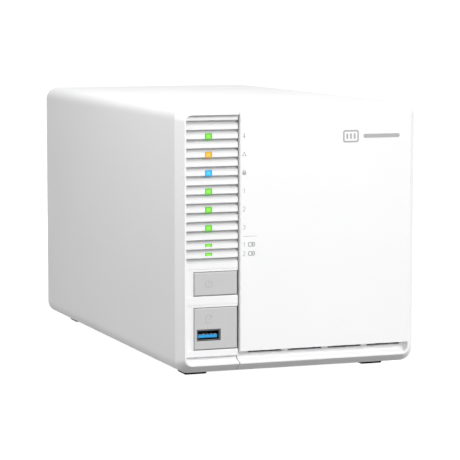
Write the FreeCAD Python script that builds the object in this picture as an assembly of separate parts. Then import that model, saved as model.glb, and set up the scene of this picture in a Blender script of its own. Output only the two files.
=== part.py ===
"""Desktop network attached storage with three upright drive bays behind a pull-off front door.

Frame: origin at the middle of the footprint, on the surface that the four feet stand on.
+X is right as seen from the front, +Y points to the rear, +Z is up. Millimetres.
"""

import math
import os

import FreeCAD
import Part

V = FreeCAD.Vector

# ---------------------------------------------------------------- driving sizes
# Enclosure
depth = 260.0
height = 150.0  # feet included
strip_width = 35.6  # left edge to the seam between the left cover and the door
wall = 2.2
corner_radius = 7.4
nose_radius = 4.2  # corner of the flat front, inside the bevel
bevel_inset = 4.1  # how far the front bevel steps in
bevel_depth = 5.2  # how far the front bevel runs back
rim_land = 0.9  # flat rim between the bevel and the front recess
recess_radius = 3.6  # corner of the recess and of the gutter
shell_gap = 0.2  # left cover to main housing
door_gap = 0.5  # left cover and bezel to door
parting_gap = 0.25  # door to main housing, along Y
lap_length = 3.0  # tongue of the main housing under the left cover
lap_play = 0.1
cover_front_wall = 7.0  # front plane to the back of the left cover's front wall
stop_length = 3.0  # rib that the rear panel rests on
stop_height = 2.0
rear_boss_radius = 3.6
rear_boss_length = 12.0
rear_boss_rib = 2.4
rear_boss_side = (8.0, 9.0)  # from the seam, and from the right wall

# Feet
foot_height = 4.0
foot_size = 12.7
foot_side = 11.5  # side of the enclosure to the foot
foot_front = 21.6
foot_rear = 12.3
foot_seat = 1.0  # depth of the pocket that holds the foot
foot_play = 0.1
foot_break = 0.5  # bevel around the sole

# Finger gutter along the bottom of the front
gutter_depth = 4.8
gutter_height = 6.1
gutter_draft = 1.2  # how far its floor and end slope inwards
gutter_sweep = 2.0  # radius between the floor and the back wall
gutter_wall = 1.8
slot_count = 4
slot_length = 20.0
slot_pitch = 23.8
slot_height = 1.7
slot_first = 6.9  # seam to the first slot

# Front door
door_skin = 2.4
door_rib = 1.2
door_edge_radius = 0.9
door_fit = 0.6  # door's back wall to the inside of the housing
magnet_radius = 2.5
magnet_depth = 2.5
magnet_gap = 0.4
magnet_play = 0.05
magnet_wall = 1.3
magnet_side = 9.0  # side of the cage to a magnet
magnet_low = 3.8  # magnets under the trays, from the trays' lower edge
magnet_high = 8.0  # magnets over the trays, from the roof
rib_shares = (0.33, 0.67)  # heights of the level ribs

# Louvred front bezel
bezel_setback = 2.0  # crest of the slats behind the front plane
bezel_wall = 1.7
bezel_play = 0.15
slat_pitch = 5.0
slat_first = 8.4  # top of the enclosure to the first groove
groove_count = 16
groove_depth = 2.0
groove_above = 0.4  # underside of a slat above its groove line
groove_below = 0.2  # root of a groove below its groove line
crest_below = 1.6  # start of the next crest below its groove line
crest_break = 0.25  # bevel on the lower edge of a crest
bezel_drop = 2.4  # lower edge of the strip under the door's lower edge
bezel_foot_gap = 0.3
hook_width = 7.0
hook_thick = 1.2
hook_barb = 1.0
hook_nose = 1.6
boss_radius = 2.2
boss_hole_radius = 0.9
board_screw_radius = 0.85
board_screw_head = (2.0, 1.2)  # radius, height

# Front buttons and lights
button_side = 10.1  # side of the enclosure to the button plates
button_width = 25.0
button_play = 0.35
button_plate = 1.8
button_edge = 0.35
button_travel = 0.8
power_height = 12.8
copy_height = 22.9
copy_bottom = 12.9  # bottom of the enclosure to the copy plate
button_bar = 6.8  # bar between the two plates
stem_radius = 2.0
stem_web = (12.0, 1.2)
stem_gap = 0.2  # stem to its switch, at full travel
catch_width = 6.0
catch_thick = 1.2
catch_side = 13.0  # right edge of a plate to its catches
collar_width = 0.8
collar_step = 0.35
ledge_top = 1.7
ledge_side = 1.0
light_side = 18.5  # side of the enclosure to the middle of the lights
light_width = 3.9
light_height = 3.2
small_light_height = 1.6
light_play = 0.08
small_light_lift = 0.65
status_grooves = {"green": 1, "amber": 3, "blue": 5}
drive_light_grooves = (7, 9, 11)
ssd_light_grooves = (13, 14)
chip_size = (2.0, 0.7, 1.2)
chip_gap = 0.1

# USB sockets (type A)
usb_width = 13.2
usb_height = 5.7
usb_shell = 0.4
usb_play = 0.35
usb_centre = 7.9  # bottom of the copy plate to the middle of the socket
usb_setback = 0.6  # mouth of the socket behind the copy plate
tongue_width = 11.1
tongue_thick = 1.9
tongue_lift = 0.8
tongue_setback = 1.3
tongue_block = 3.0
tongue_play = 0.05
usb_back = 0.6  # closed rear of the shell
contact_count = 5
contact_size = (0.9, 5.6, 0.12)
contact_setback = 0.5
rear_usb_length = 13.4
rear_usb_stand = 0.3  # rear sockets off the board
rear_usb_lifts = (25.0, 42.0)  # lower edge of the main board to the sockets

# Printed circuit boards
board_thick = 1.6
front_board_setback = 17.0
front_board_margin = 1.5
front_board_top = 8.0  # roof to the board
board_hole_radius = 1.5
switch_size = (6.0, 3.2, 6.0)
copy_switch_drop = 5.9  # upper edge of the copy plate to its switch

# Disk drives and their trays
bay_count = 3
drive_thick = 26.1
drive_width = 101.6
drive_length = 147.0
drive_bevel = 0.8
drive_holes = (28.5, 130.1)  # from the front of the drive
drive_hole_lift = 6.35
drive_hole_radius = 1.6
drive_hole_depth = 4.0
lid_notches = (6.0, 85.6)  # steps in the front of the lid, from the drive's lower edge
lid_notch = (1.2, 4.0, 18.0, 10.0)  # depth, start, length, height
drive_board_start = 40.0
drive_board_margin = 6.0
drive_board_seat = 1.4
drive_board_thick = 1.05
plug_bay = (7.2, 8.0, 44.0)  # recess for the socket: across, along, high
plug_lift = 8.0
plug_base = 5.6
plug_key = 3.0
plug_slot = 1.1
plug_reach = 5.0  # depth of the key in the recess
tray_floor = 1.8
tray_air = 4.9
tray_play = 0.5  # each side of a tray
tray_windows = (12.0, 54.0, 96.0)  # from the front of the drive
tray_window = (30.0, 22.0)  # length, and distance from the upper and lower edge
tray_stop = 6.0  # tray's end before the end of the drive
runner_thick = 3.2
clip_thick = 1.2
clip_play = 0.15
clip_half = 4.5
clip_ends = (14.0, 142.0)  # from the front of the drive
clip_pin_radius = 1.45
clip_pin_length = 2.8
tray_front = 3.0
tray_nose = 8.5  # tray front to the drive
tray_bevel = 1.5
slit_count = 8
slit_pitch = 8.0
slit_size = (24.0, 3.0)
slit_start = 14.0  # pivot of the lever to the first slit
front_to_tray = 10.5  # front plane to the front face of the tray
lever_thick = 3.2
lever_width = 22.0
lever_length = 80.0
lever_bevel = 2.0
lever_rim = 4.0
lever_window = (14.0, 16.0)  # from the pivot, and from the tip
lever_slats = 5
lever_slat = 2.4
lever_slat_inset = 0.8
lever_root = 3.2
grip_radius = 1.1
grip_drop = 8.0  # tip of the lever to its grip
lever_pin_radius = 1.5
lever_pin_play = 0.08
lever_lift = 10.0  # bottom of the tray to the lever's pivot
lever_gap = 0.3  # lever to the face of the tray
lug_thick = 1.8
lug_half = 3.0
lug_gap = 0.4
release_size = (14.0, 12.0)
release_lift = 1.0  # tip of the lever to the release
release_stem = (6.0, 4.0, 3.0)
release_travel = 1.5  # the cap stands proud by this much
release_play = 0.3

# Sheet-metal cage
sheet = 1.0
cage_gap = 1.0  # cage to the right wall
cage_floor_lift = 12.0  # floor of the shell to the cage
guide_height = 2.4
guide_width = 2.6
guide_lip = 2.2  # how far a rail stands up beside the keel of a tray
guide_play = 0.35
guide_seat = 0.05
keel_width = 16.0
keel_height = 2.6
keel_drop = 1.0  # keel of a tray below the top of its rail
cage_overhang = 6.8  # backplane behind the rear of the drives
cage_leg = 9.0  # width of the flanges of a leg
leg_margin = 8.0  # front and rear of the cage to the legs
leg_sides = (3.0, 14.0)  # left and right side of the bays to a leg
sheet_tab = (12.0, 0.15)  # length of a divider's tabs, and their play in the slots
tab_ends = 12.0  # front and rear of the cage to the tabs
vent_length = 26.0
vent_side = 9.0
vent_starts = (10.0, 55.0, 100.0)  # from the front of the drives
window_length = 34.0
window_margin = 16.0
link_notch = 6.0  # sheet left out before and behind the backplane
flange_play = 0.3
bay_margin = 0.6
air_count = 7
air_share = 0.7  # width of an air slot, as a share of its pitch
air_margin = 2.5

# Fan
fan_size = 92.0
fan_depth = 25.0
fan_flange = 3.6
fan_bore_radius = 44.6
fan_duct_wall = 1.3
duct_sides = 48  # flats that the duct and the hub are made of
fan_corner_bevel = 2.5
fan_tip_gap = 1.1
fan_hub_radius = 18.0
fan_hub_wall = 1.5
fan_hub_ends = (1.5, 4.2)  # front and rear of the frame to the hub
fan_hole_spacing = 82.5
fan_hole_radius = 2.2
fan_mount = (17.5, 3.2)  # radius, thickness
fan_tube_radius = 3.4
fan_tube_start = 6.5
fan_strut = (3.2, 2.8)  # width, thickness
fan_strut_angles = (20, 110, 200, 290)
fan_bearing_end = 1.4  # closed rear end of the bearing
fan_blades = 7
blade_thick = 1.5
blade_strips = 4  # facets across a blade
blade_root = (17.0, 46.0, 1.8)  # chord, pitch in degrees, camber
blade_tip = (28.0, 28.0, 2.4)
blade_middle = 11.0  # front of the frame to the middle of the blades
fan_shaft_radius = 1.5
fan_shaft_play = 0.05

# Rear panel
rear_recess = 3.0
panel_play = 0.2
grille_hex = 11.0  # across the flats
grille_web = 1.8
port_margin = 0.4
port_proud = 0.3  # sockets beyond the panel
power_radius = 3.9  # barrel of the power socket
power_body = (11.0, 9.4, 14.0)  # off the board, along the board, deep
power_wall = 0.8
power_pin = 1.0
power_depth = 10.0
power_lift = 2.0  # lower edge of the board to the socket
lan_size = (13.4, 16.0, 21.0)  # off the board, along the board, deep
lan_wall = (1.6, 2.1)
lan_bay = 6.8
lan_steps = ((1.8, 4.9), (1.7, 6.3))  # depth and side margin of the steps for the latch
lan_depth = 12.0
lan_lift = 60.0
hdmi_size = (5.6, 15.0, 11.0)
hdmi_corner = (1.8, 2.2)
hdmi_wall = 0.45
hdmi_tongue = (1.3, 2.6, 1.6)  # thickness, from the shell's ends, behind its mouth
hdmi_stand = 0.4
hdmi_lift = 82.0
lock_slot = (3.2, 7.0)
lock_place = (15.0, 11.0)  # from the left side, and from the roof
screw_radius = 1.25
screw_length = 8.0
screw_play = 0.35
thread_play = 0.05
fan_screw = (2.05, 7.0)  # radius, length
cover_screw_length = 5.0
screw_head_radius = 3.0
screw_head = 1.2
tab_width = 10.0
tab_height = 12.0
tab_thick = 1.3
tab_margin = 14.0  # from the bottom and the top of the left cover

# Reset plunger
reset_radius = 1.1
reset_flange = (1.9, 1.0)  # radius, thickness
reset_travel = 0.6
reset_length = 3.6
reset_setback = 0.6  # tip of the plunger behind the panel
reset_lift = 18.5
reset_off_board = 5.0
reset_switch = (6.0, 3.4)

# Main board
main_board_length = 190.0
main_board_height = 118.0
main_board_lift = 8.0  # floor of the shell to the board
main_board_gap = 2.0  # board to the rear panel
standoff = 3.0
standoff_inset = 5.0
standoff_rear = 34.0  # rear edge of the board to the last standoffs
standoff_radius = 2.8
standoff_screw = 1.5
standoff_head = 1.8
link_half = 32.0  # half the height of the connector to the backplane
link_depth = 3.0
link_wall = 0.8
link_reach = 1.0  # edge of the backplane past the cage
plane_window = (12.0, 6.0, 44.0)  # from the left and right of a bay, and height
plane_window_lift = 10.0
sink_place = (118.0, 38.0)  # rear edge of the board to its front, and lift
sink_size = (52.0, 52.0)
sink_base = 3.0
sink_fin = (13.0, 1.4)  # height, thickness
sink_fins = 9
processor = (28.0, 12.0, 2.0)  # width, inset under the sink, thickness
memory_place = (8.0, 22.0)  # from the front and the lower edge of the board
memory_height = 73.0
memory_socket_size = (5.2, 6.5)
memory_board = (1.2, 30.0, 67.4)
memory_board_lift = 2.7
memory_chips = (4, 15.5, 12.0, 10.0, 1.0)  # count, pitch, length, height, thickness
memory_arm = (30.0, 2.0)
memory_seat = 3.0  # front of the socket to the module
memory_chip_start = 11.0
ssd_front = 140.5  # rear edge of the board to the front of the modules
ssd_lifts = (17.0, 103.0)  # lower edge of the board to the middle of each module
ssd_board = (0.8, 80.0, 20.8)
ssd_board_lift = 2.2
ssd_chips = (9.5, 31.5, 53.5)
ssd_chip = (15.0, 14.0, 1.2)
ssd_socket = (4.2, 7.0, 23.0)
ssd_seat = 3.5  # depth of a module in its socket
ssd_post = 2.5
coin_place = (44.0, 78.0)  # from the rear edge and the lower edge of the board
coin_radius = 10.0
coin_thick = 3.2
coin_lift = 1.2
coin_wall = 1.6

# ---------------------------------------------------------------- places
bay_pitch = drive_thick + tray_floor + tray_air + 2 * tray_play
lap_in = 0.2  # outer face of the cage's left sheet beyond the seam
width = strip_width - lap_in + sheet + bay_count * bay_pitch + sheet + cage_gap + wall
x_left, x_right = -width / 2, width / 2
y_front, y_rear = -depth / 2, depth / 2
z_low, z_high = foot_height, height
seam_x = x_left + strip_width
door_x = seam_x - shell_gap / 2 + door_gap
bevel_y = y_front + bevel_depth
rim_inset = bevel_inset + rim_land
gutter_low = z_low + rim_inset
gutter_high = gutter_low + gutter_height
gutter_y = y_front + gutter_depth
bezel_low = gutter_high - bezel_drop
crest_y = y_front + bezel_setback
root_y = crest_y + groove_depth
bezel_back = root_y + bezel_wall
copy_low = z_low + copy_bottom
copy_high = copy_low + copy_height
power_low = copy_high + button_bar
power_high = power_low + power_height
button_x0 = x_left + button_side
button_x1 = button_x0 + button_width
light_x = x_left + light_side
usb_z = copy_low + usb_centre
board_y = y_front + front_board_setback
usb_y = crest_y + usb_setback
cage_x0 = seam_x - lap_in
bays_x0 = cage_x0 + sheet
bays_x1 = bays_x0 + bay_count * bay_pitch
cage_x1 = bays_x1 + sheet
floor_z, roof_z = z_low + wall, z_high - wall
cage_z0 = floor_z + cage_floor_lift
guide_z0 = cage_z0 + sheet
tray_z0 = guide_z0 + guide_height - keel_drop
tray_height = drive_width + 2 * (clip_thick + runner_thick + 2 * clip_play)
tray_z1 = tray_z0 + tray_height
cage_z1 = tray_z1 + (tray_z0 - cage_z0)
cage_middle = (cage_z0 + cage_z1) / 2
tray_y = y_front + front_to_tray
drive_y0 = tray_y + tray_front + tray_nose
drive_y1 = drive_y0 + drive_length
cage_y0 = tray_y - 0.5
backplane_y = drive_y1 + cage_overhang
panel_y1 = y_rear - rear_recess
panel_y0 = panel_y1 - sheet
port_tip = panel_y1 + port_proud
fan_x, fan_z = (seam_x + x_right - wall) / 2, (floor_z + roof_z) / 2
fan_y0 = panel_y0 - fan_depth
cover_screw_x = x_left + wall + tab_width / 2
main_board_x1 = cage_x0 - standoff
main_board_x0 = main_board_x1 - board_thick
main_board_y1 = panel_y0 - main_board_gap
main_board_y0 = main_board_y1 - main_board_length
main_board_z0 = floor_z + main_board_lift
lever_y = tray_y - lever_gap - lever_thick
pivot_y = lever_y + lever_thick / 2
pivot_z = tray_z0 + lever_lift
drive_z0 = tray_z0 + runner_thick + clip_thick + 2 * clip_play


# ---------------------------------------------------------------- helpers
def box(x0, x1, y0, y1, z0, z1):
    return Part.makeBox(x1 - x0, y1 - y0, z1 - z0, V(x0, y0, z0))


def rod(radius, start, end):
    start, end = V(*start), V(*end)
    return Part.makeCylinder(radius, (end - start).Length, start, end - start)


def peg(radius, start, end, sides=12):
    """Prism with a regular outline: small screws and pins, and the holes that they fit."""
    start, end = V(*start), V(*end)
    axis = end - start
    side = V(0, 0, 1) if abs(axis.z) < axis.Length / 2 else V(1, 0, 0)
    corners = [start + FreeCAD.Rotation(axis, 360.0 * i / sides).multVec(side * radius) for i in range(sides)]
    return Part.Face(Part.makePolygon(corners + corners[:1])).extrude(axis)


def joined(*shapes):
    return shapes[0].fuse(list(shapes[1:])).removeSplitter()


def moved(shape, x=0.0, y=0.0, z=0.0):
    copy = shape.copy()
    copy.translate(V(x, y, z))
    return copy


def arc_drop(radius):
    """Distance between the middle of a quarter round and the two lines that it joins."""
    return radius * (1 - math.sqrt(0.5))


def outline(x0, x1, z0, z1, radius, y):
    """Rounded rectangle standing in the plane at y."""
    k = arc_drop(radius)
    p = lambda x, z: V(x, y, z)
    edges = [
        Part.LineSegment(p(x0 + radius, z0), p(x1 - radius, z0)),
        Part.Arc(p(x1 - radius, z0), p(x1 - k, z0 + k), p(x1, z0 + radius)),
        Part.LineSegment(p(x1, z0 + radius), p(x1, z1 - radius)),
        Part.Arc(p(x1, z1 - radius), p(x1 - k, z1 - k), p(x1 - radius, z1)),
        Part.LineSegment(p(x1 - radius, z1), p(x0 + radius, z1)),
        Part.Arc(p(x0 + radius, z1), p(x0 + k, z1 - k), p(x0, z1 - radius)),
        Part.LineSegment(p(x0, z1 - radius), p(x0, z0 + radius)),
        Part.Arc(p(x0, z0 + radius), p(x0 + k, z0 + k), p(x0 + radius, z0)),
    ]
    return Part.Wire([e.toShape() for e in edges])


def shell_outline(inset, y):
    """Outline of the enclosure, moved inwards by inset."""
    return inner_outline(inset, y, max(corner_radius - inset, 0.5))


def inner_outline(inset, y, radius):
    return outline(x_left + inset, x_right - inset, z_low + inset, z_high - inset, radius, y)


def prism(wire, length):
    return Part.Face(wire).extrude(V(0, length, 0))


def plate_x(points, x0, x1):
    """Solid with the closed (y, z) profile, from x0 to x1."""
    corners = [V(x0, y, z) for y, z in points]
    return Part.Face(Part.makePolygon(corners + corners[:1])).extrude(V(x1 - x0, 0, 0))


def plate_y(points, y0, y1):
    """Solid with the closed (x, z) profile, from y0 to y1."""
    corners = [V(x, y0, z) for x, z in points]
    return Part.Face(Part.makePolygon(corners + corners[:1])).extrude(V(0, y1 - y0, 0))


def bevelled_plate(x0, x1, y0, y1, z0, z1, bevel):
    """Upright plate with its four corners cut off."""
    corners = [
        (x0 + bevel, z0), (x1 - bevel, z0), (x1, z0 + bevel), (x1, z1 - bevel),
        (x1 - bevel, z1), (x0 + bevel, z1), (x0, z1 - bevel), (x0, z0 + bevel),
    ]
    return plate_y(corners, y0, y1)


# ---------------------------------------------------------------- enclosure
def outer_body():
    """The whole enclosure as one solid, bevelled at the front."""
    flat_front = inner_outline(bevel_inset, y_front, nose_radius)
    nose = Part.makeLoft([flat_front, shell_outline(0, bevel_y)], True, True)
    return nose.fuse(prism(shell_outline(0, bevel_y), y_rear - bevel_y)).removeSplitter()


def gutter_cut(x0, x1):
    """Space of the finger gutter: sloping floor and end, swept up into the back wall."""
    bottom, radius = gutter_low + gutter_draft, gutter_sweep
    k = arc_drop(radius)
    spot = lambda y, z: V(x0, y, z)
    lip, foot = spot(y_front, gutter_low), spot(gutter_y - radius, bottom)
    back, ceiling = spot(gutter_y, bottom + radius), spot(gutter_y, gutter_high)
    edges = [
        Part.LineSegment(lip, foot),
        Part.Arc(foot, spot(gutter_y - k, bottom + k), back),
        Part.LineSegment(back, ceiling),
        Part.LineSegment(ceiling, spot(y_front, gutter_high)),
        Part.LineSegment(spot(y_front, gutter_high), lip),
    ]
    channel = Part.Face(Part.Wire([e.toShape() for e in edges])).extrude(V(x1 - x0, 0, 0))
    mouth = inner_outline(rim_inset, y_front, recess_radius)
    inner = inner_outline(rim_inset + gutter_draft / 2, gutter_y, recess_radius)
    return channel.common(Part.makeLoft([mouth, inner], True, True))


def main_housing():
    """Top, right side and bottom, with the tongue that laps under the left cover."""
    front, tongue_end = bevel_y + parting_gap, panel_y0 - 1
    tube = prism(shell_outline(0, front), y_rear - front).cut(prism(shell_outline(wall, front - 1), depth))
    body = tube.common(box(seam_x + shell_gap / 2, x_right, front, y_rear, z_low, z_high))
    tongue = prism(shell_outline(wall / 2 + lap_play, front), tongue_end - front)
    tongue = tongue.cut(prism(shell_outline(wall, front - 1), depth))
    tongue = tongue.common(box(seam_x - lap_length, seam_x + 1, front, tongue_end, z_low, z_high))
    stop = prism(shell_outline(wall - lap_play, panel_y0 - stop_length), stop_length)
    stop = stop.cut(prism(shell_outline(wall + stop_height, panel_y0 - stop_length - 1), stop_length + 2))
    stop = stop.common(box(seam_x + stop_height, x_right, front, panel_y0, z_low, z_high))
    body = joined(body, tongue, stop, *[panel_boss(x, z) for x, z in boss_places()])
    cuts = [foot_pocket(x, y) for x, y in foot_places() if x > seam_x]
    cuts += [peg(screw_radius + thread_play, (x, panel_y0 - 10, z), (x, panel_y0 + 1, z), 8)
             for x, z in boss_places()]
    return body.cut(cuts)


def boss_places():
    """Screw bosses for the rear panel, against the top and bottom walls."""
    from_seam, from_wall = rear_boss_side
    xs = (seam_x + from_seam, x_right - wall - from_wall)
    return [(x, z) for x in xs for z in (floor_z + rear_boss_radius, roof_z - rear_boss_radius)]


def panel_boss(x, z):
    front, half = panel_y0 - rear_boss_length, rear_boss_rib / 2
    low, high = (floor_z - lap_play, z) if z < height / 2 else (z, roof_z + lap_play)
    return peg(rear_boss_radius, (x, front, z), (x, panel_y0, z)).fuse(
        box(x - half, x + half, front, panel_y0, low, high))


def left_cover():
    """Left side with its share of the top, the bottom, the front rim and the gutter."""
    front_wall = y_front + cover_front_wall
    body = outer_body().cut(prism(shell_outline(wall, front_wall), depth))
    window = prism(inner_outline(rim_inset, y_front - 1, recess_radius), cover_front_wall + 2)
    body = body.cut([
        window.common(box(x_left, seam_x, y_front - 1, front_wall + 1, bezel_low, z_high)),
        gutter_cut(x_left, seam_x),
    ])
    tab = box(x_left + wall / 2, x_left + wall + tab_width, panel_y1, panel_y1 + tab_thick, 0, tab_height)
    tabs = [moved(tab, z=z) for z in tab_places()]
    body = joined(body.common(box(x_left, seam_x - shell_gap / 2, y_front, y_rear, z_low, z_high)), *tabs)
    lap = prism(shell_outline(wall / 2, bevel_y), panel_y0 - bevel_y)
    lap = lap.cut(prism(shell_outline(wall + lap_play, bevel_y - 1), depth))
    lap = lap.common(box(seam_x - lap_length - lap_play, seam_x, bevel_y, y_rear, z_low, z_high))
    cuts = [lap] + [foot_pocket(x, y) for x, y in foot_places() if x < seam_x]
    cuts += [peg(screw_radius + screw_play, (cover_screw_x, panel_y0, z), (cover_screw_x, y_rear, z), 8)
             for z in cover_screw_heights()]
    return body.cut(cuts)


def tab_places():
    """Lower edges of the three screw tabs at the rear of the left cover."""
    low, high = z_low + tab_margin, z_high - tab_margin - tab_height
    return [low, (low + high) / 2, high]


def cover_screw_heights():
    return [z + tab_height / 2 for z in tab_places()]


def front_door():
    """Door with the flat front, its bevels and its length of the gutter with the air slots."""
    inside = wall + door_fit
    body = outer_body().common(box(door_x, x_right, y_front, bevel_y, z_low, z_high))
    sill = gutter_high + gutter_wall
    hollow = prism(shell_outline(inside, y_front + door_skin), bevel_depth)
    body = body.cut(hollow.common(box(door_x + wall, x_right, y_front, bevel_y + 1, sill, z_high)))
    back_wall = prism(shell_outline(inside, bevel_y - 1), gutter_y + gutter_wall - bevel_y + 1)
    body = joined(body, back_wall.common(box(door_x, x_right, y_front, bevel_y + 5, z_low, sill)))
    body = body.makeFillet(door_edge_radius, [e for e in body.Edges if on_front_left_edge(e)])
    body = joined(body, *door_ribs(sill), *[magnet_post(x, z) for x, z in magnet_places()])
    face = cage_y0 - magnet_gap
    cuts = [peg(magnet_radius + magnet_play, (x, face - magnet_depth, z), (x, face + 1, z))
            for x, z in magnet_places()]
    cuts += [air_slot(i) for i in range(slot_count)]
    return body.cut(cuts + [gutter_cut(door_x - 1, x_right)])


def on_front_left_edge(edge):
    b = edge.BoundBox
    flush = abs(b.XMax - door_x) < 0.01 and abs(b.YMax - y_front) < 0.01
    return flush and b.ZLength > height / 2


def door_ribs(sill):
    """Stiffening ribs behind the door's skin: upright between the bays, level at two heights."""
    start, end, half = y_front + door_skin - 0.2, bevel_y - 0.6, door_rib / 2
    reach = bevel_inset + 0.8
    low, high = gutter_high, z_high - bevel_inset
    ribs = [box(bay_x(k) - half, bay_x(k) + half, start, end, sill - 0.2, z_high - reach)
            for k in range(1, bay_count)]
    for share in rib_shares:
        z = low + (high - low) * share
        ribs.append(box(door_x + wall / 2, x_right - reach, start, end, z - half, z + half))
    return ribs


def magnet_post(x, z):
    start = y_front + door_skin - 0.2
    return peg(magnet_radius + magnet_wall, (x, start, z), (x, cage_y0 - magnet_gap, z))


def air_slot(i):
    x = seam_x + slot_first + i * slot_pitch
    return box(x, x + slot_length, gutter_y - 1, bevel_y + 5, gutter_high - slot_height, gutter_high)


def magnet_places():
    """Middle of each door magnet, over the top and bottom flanges of the cage."""
    xs = (bays_x0 + magnet_side, bays_x1 - magnet_side)
    return [(x, z) for x in xs for z in (tray_z0 - magnet_low, roof_z - magnet_high)]


def door_magnets():
    face = cage_y0 - magnet_gap
    return Part.makeCompound([peg(magnet_radius, (x, face - magnet_depth, z), (x, face, z))
                              for x, z in magnet_places()])


def foot_places():
    """Lower corner (x, y) of each foot."""
    xs = (x_left + foot_side, x_right - foot_side - foot_size)
    ys = (y_front + foot_front, y_rear - foot_rear - foot_size)
    return [(x, y) for x in xs for y in ys]


def foot_pocket(x, y):
    end = foot_size + foot_play
    return box(x - foot_play, x + end, y - foot_play, y + end, z_low - 1, z_low + foot_seat)


def rubber_feet():
    feet = []
    for x, y in foot_places():
        foot = box(x, x + foot_size, y, y + foot_size, 0, z_low + foot_seat)
        feet.append(foot.makeChamfer(foot_break, [e for e in foot.Edges if e.BoundBox.ZMax < 0.01]))
    return Part.makeCompound(feet)


# ---------------------------------------------------------------- front bezel
def groove_z(k):
    return z_high - slat_first - slat_pitch * k


def light_z(k):
    """Middle of the crest under groove k."""
    return groove_z(k) - (crest_below + slat_pitch - groove_above) / 2


def lights():
    """(x, z, height) of every light window, by colour."""
    places = {colour: [(light_x, light_z(k), light_height)] for colour, k in status_grooves.items()}
    places["green"] += [(light_x, light_z(k), light_height) for k in drive_light_grooves]
    places["green"] += [(light_x, light_z(k) + small_light_lift, small_light_height)
                        for k in ssd_light_grooves]
    return places


def front_bezel():
    """Louvred strip: every slat has an upright crest, an undercut and a sloping top."""
    inset = rim_inset + bezel_play
    top, low = z_high - inset, bezel_low + bezel_foot_gap
    profile = [(bezel_back, low), (bezel_back, top), (crest_y, top)]
    for k in range(groove_count):
        z = groove_z(k)
        profile += [
            (crest_y, z + groove_above + crest_break),
            (crest_y + crest_break, z + groove_above),
            (root_y, z + groove_above),
            (root_y, z - groove_below),
            (crest_y, z - crest_below),
        ]
    profile.append((crest_y, low))
    x0, x1 = x_left + inset, seam_x - shell_gap / 2
    plates = [(power_low, power_high), (copy_low, copy_high)]
    body = plate_x(profile, x0, x1)
    body = body.common(prism(inner_outline(inset, y_front, recess_radius), bezel_back - y_front))
    body = body.cut([button_ledge(*plate) for plate in plates])
    collars = [button_collar(*plate).common(box(x0, x1, y_front, bezel_back, low, top)) for plate in plates]
    body = joined(body, *collars, *bezel_hooks(), *[bezel_boss(x, z) for x, z in board_screw_places()])
    cuts = [button_hole(*plate) for plate in plates]
    cuts += [light_block(place, light_play) for group in lights().values() for place in group]
    cuts += [peg(boss_hole_radius, (x, bezel_back, z), (x, board_y + 1, z), 8)
             for x, z in board_screw_places()]
    return body.cut(cuts)


def bezel_hooks():
    """Snap hooks that catch behind the left cover's front wall."""
    x0, back = x_left + rim_inset + bezel_play, y_front + cover_front_wall
    start, end, half = bezel_back - 0.2, back + 0.2 + hook_nose, hook_width / 2
    hooks = []
    for z in (groove_z(2), groove_z(groove_count - 3), (power_low + copy_high) / 2):
        hooks.append(box(x0, x0 + hook_thick, start, end, z - half, z + half))
        hooks.append(box(x0 - hook_barb, x0 + hook_thick, end - hook_nose, end, z - half, z + half))
    return hooks


def bezel_boss(x, z):
    return peg(boss_radius, (x, bezel_back - 0.2, z), (x, board_y, z))


def board_screw_places():
    """Screws that hold the front board to the bezel, clear of the buttons and the lights."""
    x0, x1 = x_left + rim_inset + 2.6, seam_x - 5.0
    top = z_high - rim_inset - 9.6
    return [(x0, copy_low + 6.2), (x0, top), (x1, (power_low + copy_high) / 2), (x1, top)]


def button_hole(z0, z1):
    return box(button_x0 - button_play, seam_x, y_front, bezel_back + 1, z0 - button_play, z1 + button_play)


def button_ledge(z0, z1):
    """Shallow ledge around a button plate, open towards the seam."""
    x0 = x_left + rim_inset + ledge_side
    return box(x0, seam_x, y_front, crest_y + collar_step, z0 - button_play - 0.2, z1 + ledge_top)


def button_collar(z0, z1):
    """Raised lip around a button plate."""
    grow = button_play + collar_width
    return box(button_x0 - grow, seam_x, crest_y + 0.1, bezel_back, z0 - grow, z1 + grow)


def button_body(z0, z1, stem_z):
    """Plate with softened edges, catches behind the bezel and the stem that meets its switch."""
    plate = box(button_x0, button_x1, crest_y, crest_y + button_plate, z0, z1)
    plate = plate.makeChamfer(button_edge, [e for e in plate.Edges if e.BoundBox.YMax < crest_y + 0.01])
    end = board_y - switch_size[1] - button_travel - stem_gap
    start = crest_y + button_plate - 0.2
    stem = peg(stem_radius, (light_x, start, stem_z), (light_x, end, stem_z))
    web_half, web_thick = stem_web[0] / 2, stem_web[1] / 2
    web = box(light_x - web_half, light_x + web_half, start, bezel_back + 2,
              stem_z - web_thick, stem_z + web_thick)
    return joined(plate, stem, web, *[button_catch(z, side) for z, side in ((z0, -1), (z1, 1))])


def button_catch(z, side):
    """Hook on the upper or lower edge of a plate that stops it falling out."""
    x0 = button_x1 - catch_side
    x1 = x0 + catch_width
    start, back = crest_y + button_plate - 0.2, bezel_back + 0.1
    end = back + catch_thick
    inner, tip = z - side * catch_thick, z + side * (button_play + 1.0)
    arm = box(x0, x1, start, end, min(z, inner), max(z, inner))
    return arm.fuse(box(x0, x1, back, end, min(inner, tip), max(inner, tip)))


def light_block(place, play=0.0):
    """Light pipe from the crest to its chip, or with play the hole that it stands in."""
    x, z, tall = place
    half_w, half_h = light_width / 2 + play, tall / 2 + play
    start = crest_y - (1.0 if play else 0.0)
    end = bezel_back + 1 if play else board_y - chip_size[1] - chip_gap
    return box(x - half_w, x + half_w, start, end, z - half_h, z + half_h)


def light_pipes(colour):
    return Part.makeCompound([light_block(place) for place in lights()[colour]])


def light_chips():
    """Light chips on the front board, one behind every light pipe."""
    half_w, thick, half_h = chip_size[0] / 2, chip_size[1], chip_size[2] / 2
    return Part.makeCompound([box(x - half_w, x + half_w, board_y - thick, board_y, z - half_h, z + half_h)
                              for group in lights().values() for x, z, _ in group])


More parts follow.
